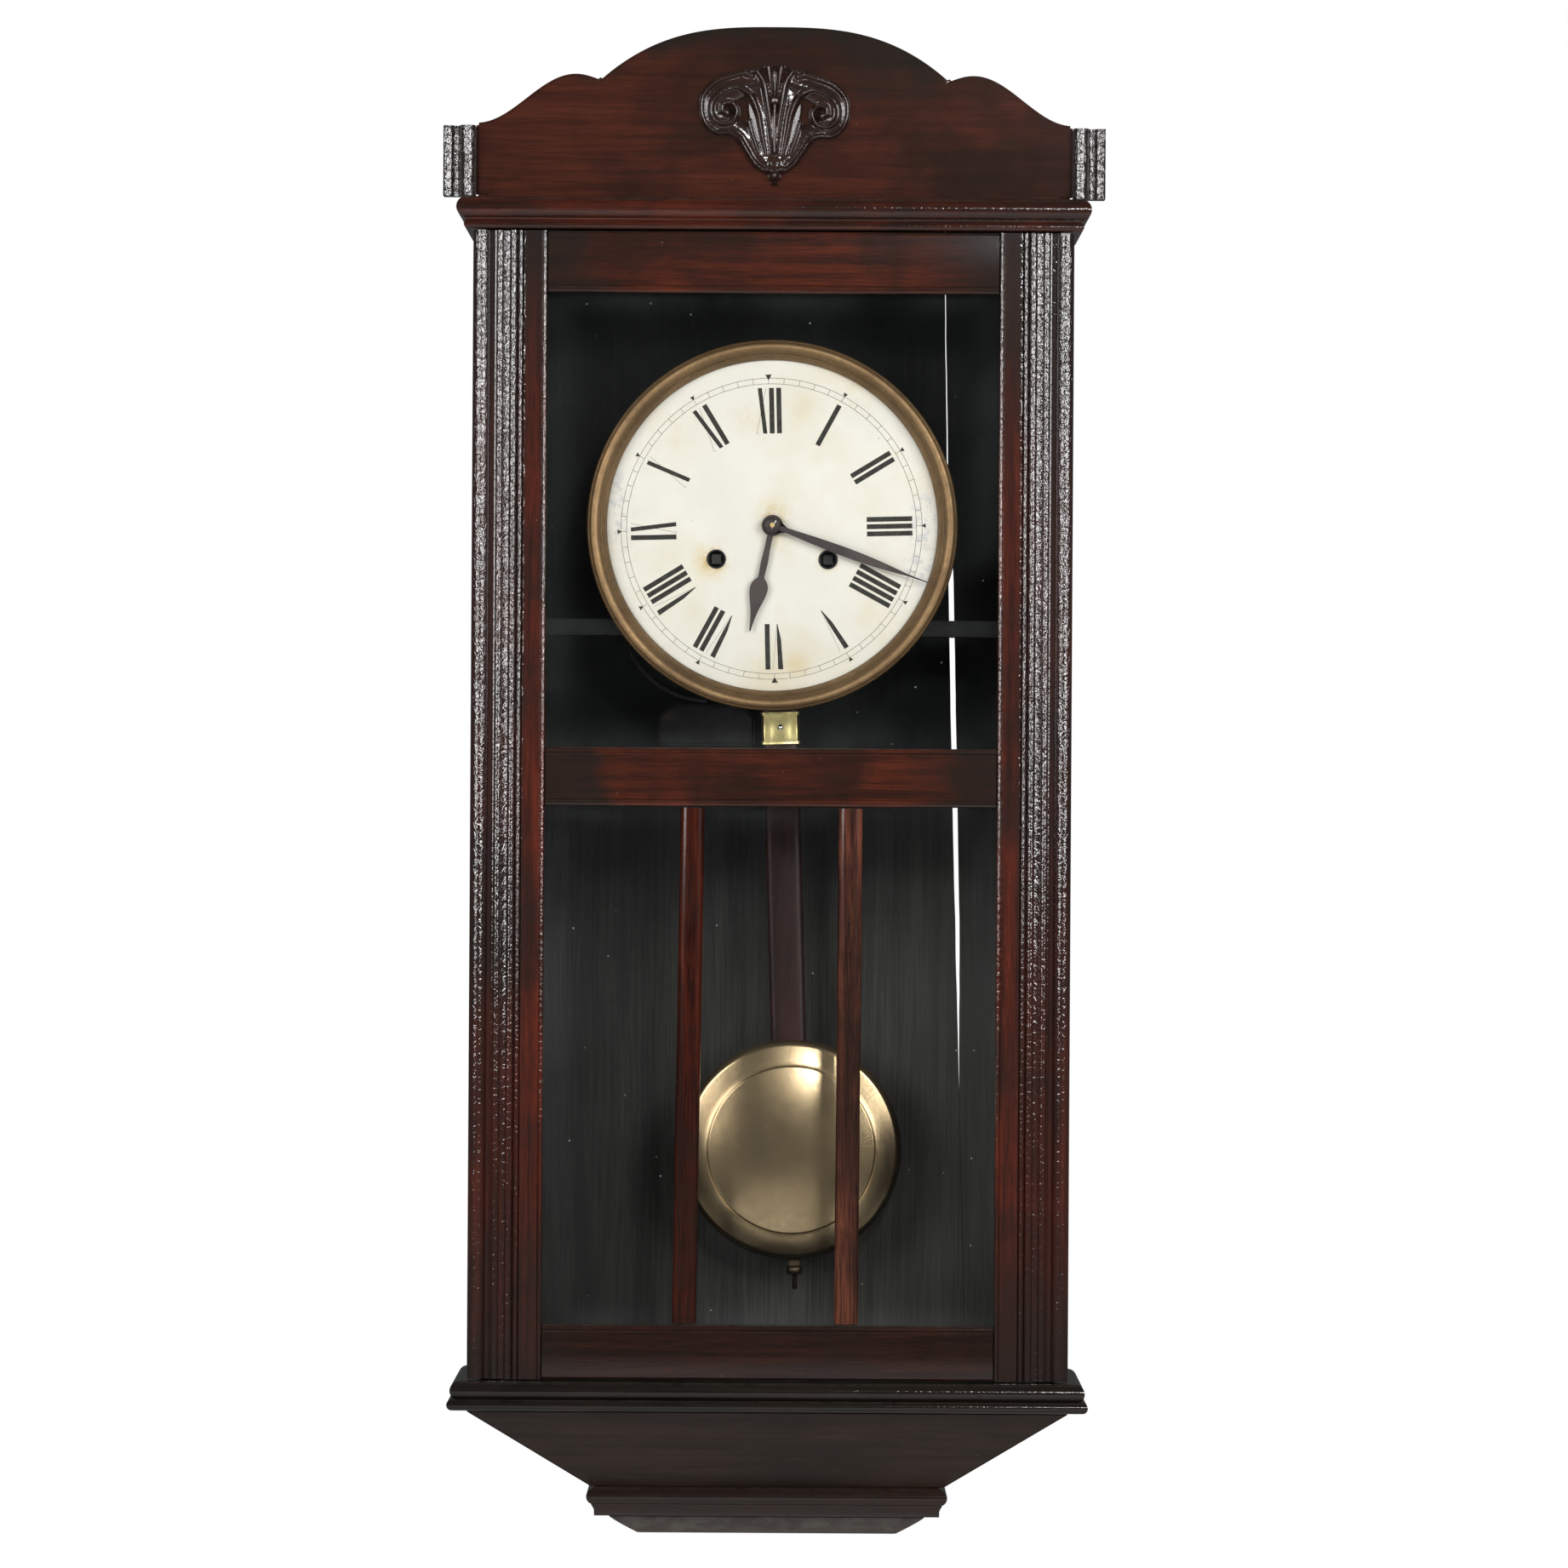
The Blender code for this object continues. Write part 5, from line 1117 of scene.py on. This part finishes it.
def hand(name, stations, hub, hole, angle, thick):
    """A hand with a crowned face, cut from softened outlines through (distance, half width) stations."""
    b = Box(name)
    front, back = b.y0, b.y1
    curve = smooth_path([(half, 0.0, distance) for distance, half in stations], 6)
    first = math.degrees(math.asin(min(curve[0].x / hub, 1.0)))
    ring = [polar(hub, first + (360.0 - 2.0 * first) * i / 40.0) for i in range(41)]
    outline = ring + [(-p.x, p.z) for p in curve] + [(p.x, p.z) for p in reversed(curve)]
    shape = soften(prism(outline, "Y", front, back), thick, 3, 50.0)
    shape = cut(shape, plug(hole, front - 2.0, back + 2.0))
    return moved(shape, Matrix.Rotation(math.radians(angle), 4, "Y"))


def hands():
    """The two hands, the domed washer and the taper pin that holds them."""
    spade = [(5.3, 1.6), (12.0, 1.55), (20.0, 1.85), (27.4, 1.65), (28.8, 2.1), (30.2, 3.3), (32.2, 4.4),
             (34.6, 4.75), (37.6, 4.4), (41.5, 3.4), (46.0, 2.1), (51.0, 1.1), (57.4, 0.35)]
    tip = Box("minute_hand").x1 / math.sin(math.radians(MINUTE_ANGLE))
    leaf = [(4.3, 1.3), (12.0, 1.55), (24.0, 2.1), (40.0, 2.5), (56.0, 2.15), (70.0, 1.15), (77.0, 0.55),
            (tip - 0.4, 0.25)]
    piece("hour_hand_spade", hand("hour_hand", spade, 5.6, 3.4, HOUR_ANGLE, 0.32), BRONZE, "hour_hand_pipe",
          "hour_hand")
    piece("minute_hand_leaf", hand("minute_hand", leaf, 4.6, 1.7, MINUTE_ANGLE, 0.30), BRONZE,
          "minute_hand_arbor", "minute_hand")
    m = Box("minute_hand")
    end = Box("centre_arbor").y0
    boss = [(0.0, m.y0 - 1.5), (2.0, m.y0 - 1.45), (3.8, m.y0 - 1.0), (4.5, m.y0 - 0.4), (4.5, m.y0),
            (0.0, m.y0)]
    piece("hand_washer", turned(boss, segments=40), BRONZE, "minute_hand_arbor")
    pin = turned([(0.0, -2.7), (0.28, -2.6), (0.42, 2.2), (0.0, 2.4)], "X", segments=16)
    place = Matrix.Translation((0.9, max(end + 0.6, m.y0 - 2.1), 0.3))
    turn = Matrix.Rotation(math.radians(-62.0), 4, "Y")
    piece("hand_taper_pin", moved(pin, place @ turn), BRIGHT, "minute_hand_arbor")


# ---------------------------------------------------------------- pendulum, gong and movement

def pendulum():
    """The rod with its ferrule, spring and screw, and the bob with its rating nut."""
    swing, slide = joints["pendulum_swing"], joints["bob_slide"]
    pivot = Vector(swing["pos_m"]) / MM
    up = Vector(slide["axis"])
    lean = math.atan2(-up.x, up.z)
    hang = Matrix.Translation(pivot) @ Matrix.Rotation(-lean, 4, "Y")
    half, thick = 9.5, 4.0
    section = [(-half, thick), (-half, -2.2)] + [(-9.0, -2.9), (-8.0, -3.5), (-6.6, -3.9), (-5.0, -thick)]
    section += [(-x, y) for x, y in reversed(section)]
    rod = soften(prism(section, "Z", -431.0, -14.0), 0.35, 2, 50.0)
    rod = cut(rod, board((-2.0, 2.0), (-6.0, 6.0), (-54.0, -38.0), 0.4))
    piece("pendulum_rod_wood", moved(rod, hang), WOOD["rod"], "pendulum", "pendulum_rod")
    strip = board((-4.0, 4.0), (-0.2, 0.2), (-16.0, -0.6), 0.05)
    clasp = board((-5.2, 5.2), (-1.2, 1.2), (-19.0, -12.0), 0.4)
    piece("suspension_spring", moved(merged(strip, clasp), hang), STEEL, "pendulum")
    turns, pitch = 32, 0.8
    thread = [(1.5 if i % 2 else 1.22, -458.6 + i * pitch / 2.0) for i in range(turns * 2 + 1)]
    stem = turned([(0.0, -459.0), (1.0, -459.0)] + thread + [(1.4, -430.0), (0.0, -430.0)], "Z",
                  segments=20)
    piece("pendulum_stem", moved(stem, hang), DARK_BRASS, "pendulum")
    low, high, x, y0, y1 = -166.2, -148.6, 10.3, -5.4, 4.9
    levels = [(low, 0.0), (low + 0.3, 0.35), (low + 1.6, 0.35), (low + 2.2, 0.0)]
    levels += [(high - 2.2, 0.0), (high - 1.6, 0.35), (high - 0.3, 0.35), (high, 0.0)]
    corner = 1.6
    rings = []
    for z, out in levels:
        o = out - 0.35
        loop = []
        for cx, cy, start in ((x + o - corner, y1 + o - corner, 0.0),
                              (-x - o + corner, y1 + o - corner, 90.0),
                              (-x - o + corner, y0 - o + corner, 180.0),
                              (x + o - corner, y0 - o + corner, 270.0)):
            loop += [(a, c, z) for a, c in arc((cx, cy), corner, start, start + 90.0, 4)]
            if start == 180.0:
                loop += [(a, cy - corner * (1.0 - 0.5 * (a / x) ** 2), z) for a in range(-7, 8, 2)]
        loop = [(a, c + 0.8 * min((a / x) ** 2, 1.0) if c < 0.0 else c, z) for a, c, z in loop]
        rings.append(loop)
    sleeve = cut(bridge(rings), board((-9.75, 9.75), (-4.3, 4.3), (-170.0, -140.0), 0.05))
    head = [(0.0, y0 - 0.85), (0.9, y0 - 0.7), (1.5, y0 - 0.2), (1.6, y0 + 0.5), (0.0, y0 + 0.5)]
    pin = turned(head, centre=(0.0, 0.0, -157.0), segments=20)
    piece("rod_ferrule_sleeve", moved(sleeve, hang), BRIGHT_BRASS, "pendulum", "rod_ferrule")
    piece("rod_ferrule_pin", moved(pin, hang), BRIGHT, "pendulum")
    drop, radius = -BOB_DROP, 59.2

    def dome(reach):
        """The depth of the bob's domed face at a distance from its centre."""
        return -18.5 + 6.0 * (reach / 57.4) ** 2.0

    face = [(44.2 * i / 14.0, dome(44.2 * i / 14.0)) for i in range(15)]
    face += [(44.7, dome(44.7)), (45.0, dome(45.0) + 0.32), (45.3, dome(45.3) + 0.32),
             (45.6, dome(45.6) - 0.05)]
    face += [(46.3 + 11.1 * i / 6.0, dome(46.3 + 11.1 * i / 6.0)) for i in range(7)]
    face += [(58.2, -11.2), (58.9, -9.6), (radius, -7.0), (radius, -6.2), (58.6, -5.1), (57.4, -4.6),
             (0.0, -4.6)]
    bob = turned(face, centre=(0.0, 0.0, drop), segments=128)
    lug = board((-2.9, 2.9), (-6.5, 4.0), (-446.3, -436.0), 0.5)
    lug = cut(lug, plug(1.9, -470.0, -430.0, "Z"))
    piece("pendulum_bob_face", moved(bob, hang), BOB_BRASS, "pendulum_bob", "pendulum_bob",
          50.0)
    piece("pendulum_bob_lug", moved(lug, hang), DARK_BRASS, "pendulum_bob")
    nut = [(1.9, -450.9), (3.6, -450.9), (4.2, -450.2), (4.2, -447.3), (3.6, -446.6), (1.9, -446.6)]

    def knurl(turn, along):
        """Ribs round the middle of the rating nut."""
        return 1.0 - 0.05 * max(math.cos(turn * 24.0), 0.0) if -450.3 < along < -447.2 else 0.985

    piece("rating_nut_knurled", moved(turned(nut + nut[:1], "Z", segments=96, wave=knurl), hang), DARK_BRASS,
          "rating_nut", "rating_nut", 50.0)


def gong():
    """The flat wire coil and the cast block that holds its end."""
    coil, block = Box("gong_coil"), Box("gong_block")
    middle_x, middle_z, outer, inner, turns = -35.0, -45.0, 48.0, 30.0, 2.0
    path = []
    for i in range(181):
        share = i / 180.0
        x, z = polar(outer + (inner - outer) * share, 180.0 + 360.0 * turns * share)
        path.append(Vector((middle_x + x, coil.ym, middle_z + z)))
    piece("gong_wire", tube(path, lambda s: 1.4 - 0.12 * s, 14), BLUED, "case", "gong_coil")
    outline = [(block.x0, block.z0), (block.x1, block.z0), (block.x1, block.z1 - 6.0)]
    outline += [(block.x1 - 8.0, block.z1), (block.x0 + 8.0, block.z1), (block.x0, block.z1 - 6.0)]
    shape = soften(prism(outline, "Y", block.y0, block.y1), 1.6, 3)
    piece("gong_block_cast", shape, IRON, "case", "gong_block")
    heads = [screw(x, block.zm - 2.0, block.y0 + 0.05, 3.4, 15.0 + x)
             for x in (block.x0 + 9.0, block.x1 - 9.0)]
    piece("gong_block_screws", merged(*heads), IRON, "case")


def movement():
    """The plate screws, and a material for every CAD part that is shown as it is."""
    plate = Box("front_plate")
    spots = [(x, z) for x in (plate.x0 + 5.0, plate.x1 - 5.0) for z in (-44.0, 52.0)]
    heads = [screw(x, z, plate.y0, 3.2, 12.0 + x + z, 1.3) for x, z in spots]
    piece("plate_screws", merged(*heads), STEEL, "case")
    slots = {row["node"]: row["material_slot"] for row in frame["record"]["subparts"]}
    for name, obj in frame["nodes"].items():
        if obj.hide_render:
            continue
        slot = slots[name]
        look = {"movement_brass": PLATE_BRASS, "movement_steel": STEEL, "hinge_brass": HINGE_BRASS}[slot]
        look = DARK_STEEL if name.endswith("winding_arbor") else look
        obj.data.materials.clear()
        obj.data.materials.append(look)


# ---------------------------------------------------------------- stage

def aim(obj, target):
    """Turns a light to face a target."""
    obj.rotation_euler = (Vector(target) - obj.location).to_track_quat("-Z", "Y").to_euler()


def soft_light(name, place, target, size, power, glossy=True):
    """A rectangular softbox. Without `glossy` it lights surfaces but isn't seen in reflections."""
    light = bpy.data.lights.new(name, "AREA")
    light.shape = "RECTANGLE"
    light.size, light.size_y = size
    light.energy = power
    obj = bpy.data.objects.new(name, light)
    obj.location = place
    obj.visible_glossy = glossy
    bpy.context.collection.objects.link(obj)
    aim(obj, target)


def stage():
    """The white room, the lights, the floor and the camera."""
    world = bpy.data.worlds.new("studio")
    bpy.context.scene.world = world
    world.use_nodes = True
    tree = world.node_tree
    tree.nodes.clear()
    output = tree.nodes.new("ShaderNodeOutputWorld")
    choose = tree.nodes.new("ShaderNodeMixShader")
    path = tree.nodes.new("ShaderNodeLightPath")
    shades = []
    for level in (0.07, 1.0):
        shade = tree.nodes.new("ShaderNodeBackground")
        shade.inputs["Color"].default_value = (level, level, level, 1.0)
        shades.append(shade)
    tree.links.new(path.outputs["Is Camera Ray"], choose.inputs[0])
    tree.links.new(shades[0].outputs[0], choose.inputs[1])
    tree.links.new(shades[1].outputs[0], choose.inputs[2])
    tree.links.new(choose.outputs[0], output.inputs[0])
    target = (0.0, -0.14, -0.05)
    # A name, a place, a target, a size and a power in watts.
    soft_light("key_right", (1.56, -2.42, 0.52), target, (1.35, 1.25), 56.0)
    soft_light("key_left", (-1.56, -2.42, 0.46), target, (1.35, 1.25), 50.0)
    soft_light("low_front", (0.0, -2.6, -0.9), target, (1.6, 0.8), 9.0, False)
    soft_light("front_high", (0.40, -3.1, 0.66), (0.0, -0.1, -0.3), (0.26, 0.30), 18.0)
    soft_light("low_band", (-0.1, -3.1, -1.08), (0.0, -0.1, -0.33), (1.2, 0.4), 1.0)
    soft_light("behind", (0.7, 2.4, 0.7), target, (1.4, 1.2), 16.0, False)
    soft_light("overhead", (0.0, -0.9, 2.3), (0.0, -0.3, 0.0), (1.6, 1.2), 7.0, False)
    look = Look("studio_floor")
    cloud = look.noise(3.0, detail=3.0)
    look.set(Base_Color=look.mix(cloud, (0.80, 0.80, 0.79), (0.84, 0.84, 0.83)),
             Roughness=look.map(cloud, 0.3, 0.7, 0.7, 0.8))
    floor = bpy.data.meshes.new("floor")
    reach, low = 1.1, -0.78
    floor.from_pydata([(-reach, -1.6, low), (reach, -1.6, low), (reach, 0.9, low), (-reach, 0.9, low)], [],
                      [(0, 1, 2, 3)])
    floor.materials.append(look.material)
    obj = bpy.data.objects.new("floor", floor)
    bpy.context.collection.objects.link(obj)
    camera = bpy.data.cameras.new("camera")
    camera.sensor_width, camera.lens = 36.0, 239.6
    camera.clip_start, camera.clip_end = 0.1, 60.0
    eye = bpy.data.objects.new("camera", camera)
    level, roll = Matrix.Rotation(math.pi / 2.0, 4, "X"), Matrix.Rotation(math.radians(0.34), 4, "Z")
    eye.matrix_world = Matrix.Translation((0.0070, -5.65, -0.1373)) @ level @ roll
    bpy.context.collection.objects.link(eye)
    bpy.context.scene.camera = eye
    bpy.context.scene.view_settings.view_transform = "Standard"


case_boards()
back_boards()
hanger()
mouldings()
apron_and_drop()
crest()
carving()
door()
dial()
hands()
pendulum()
gong()
movement()
stage()
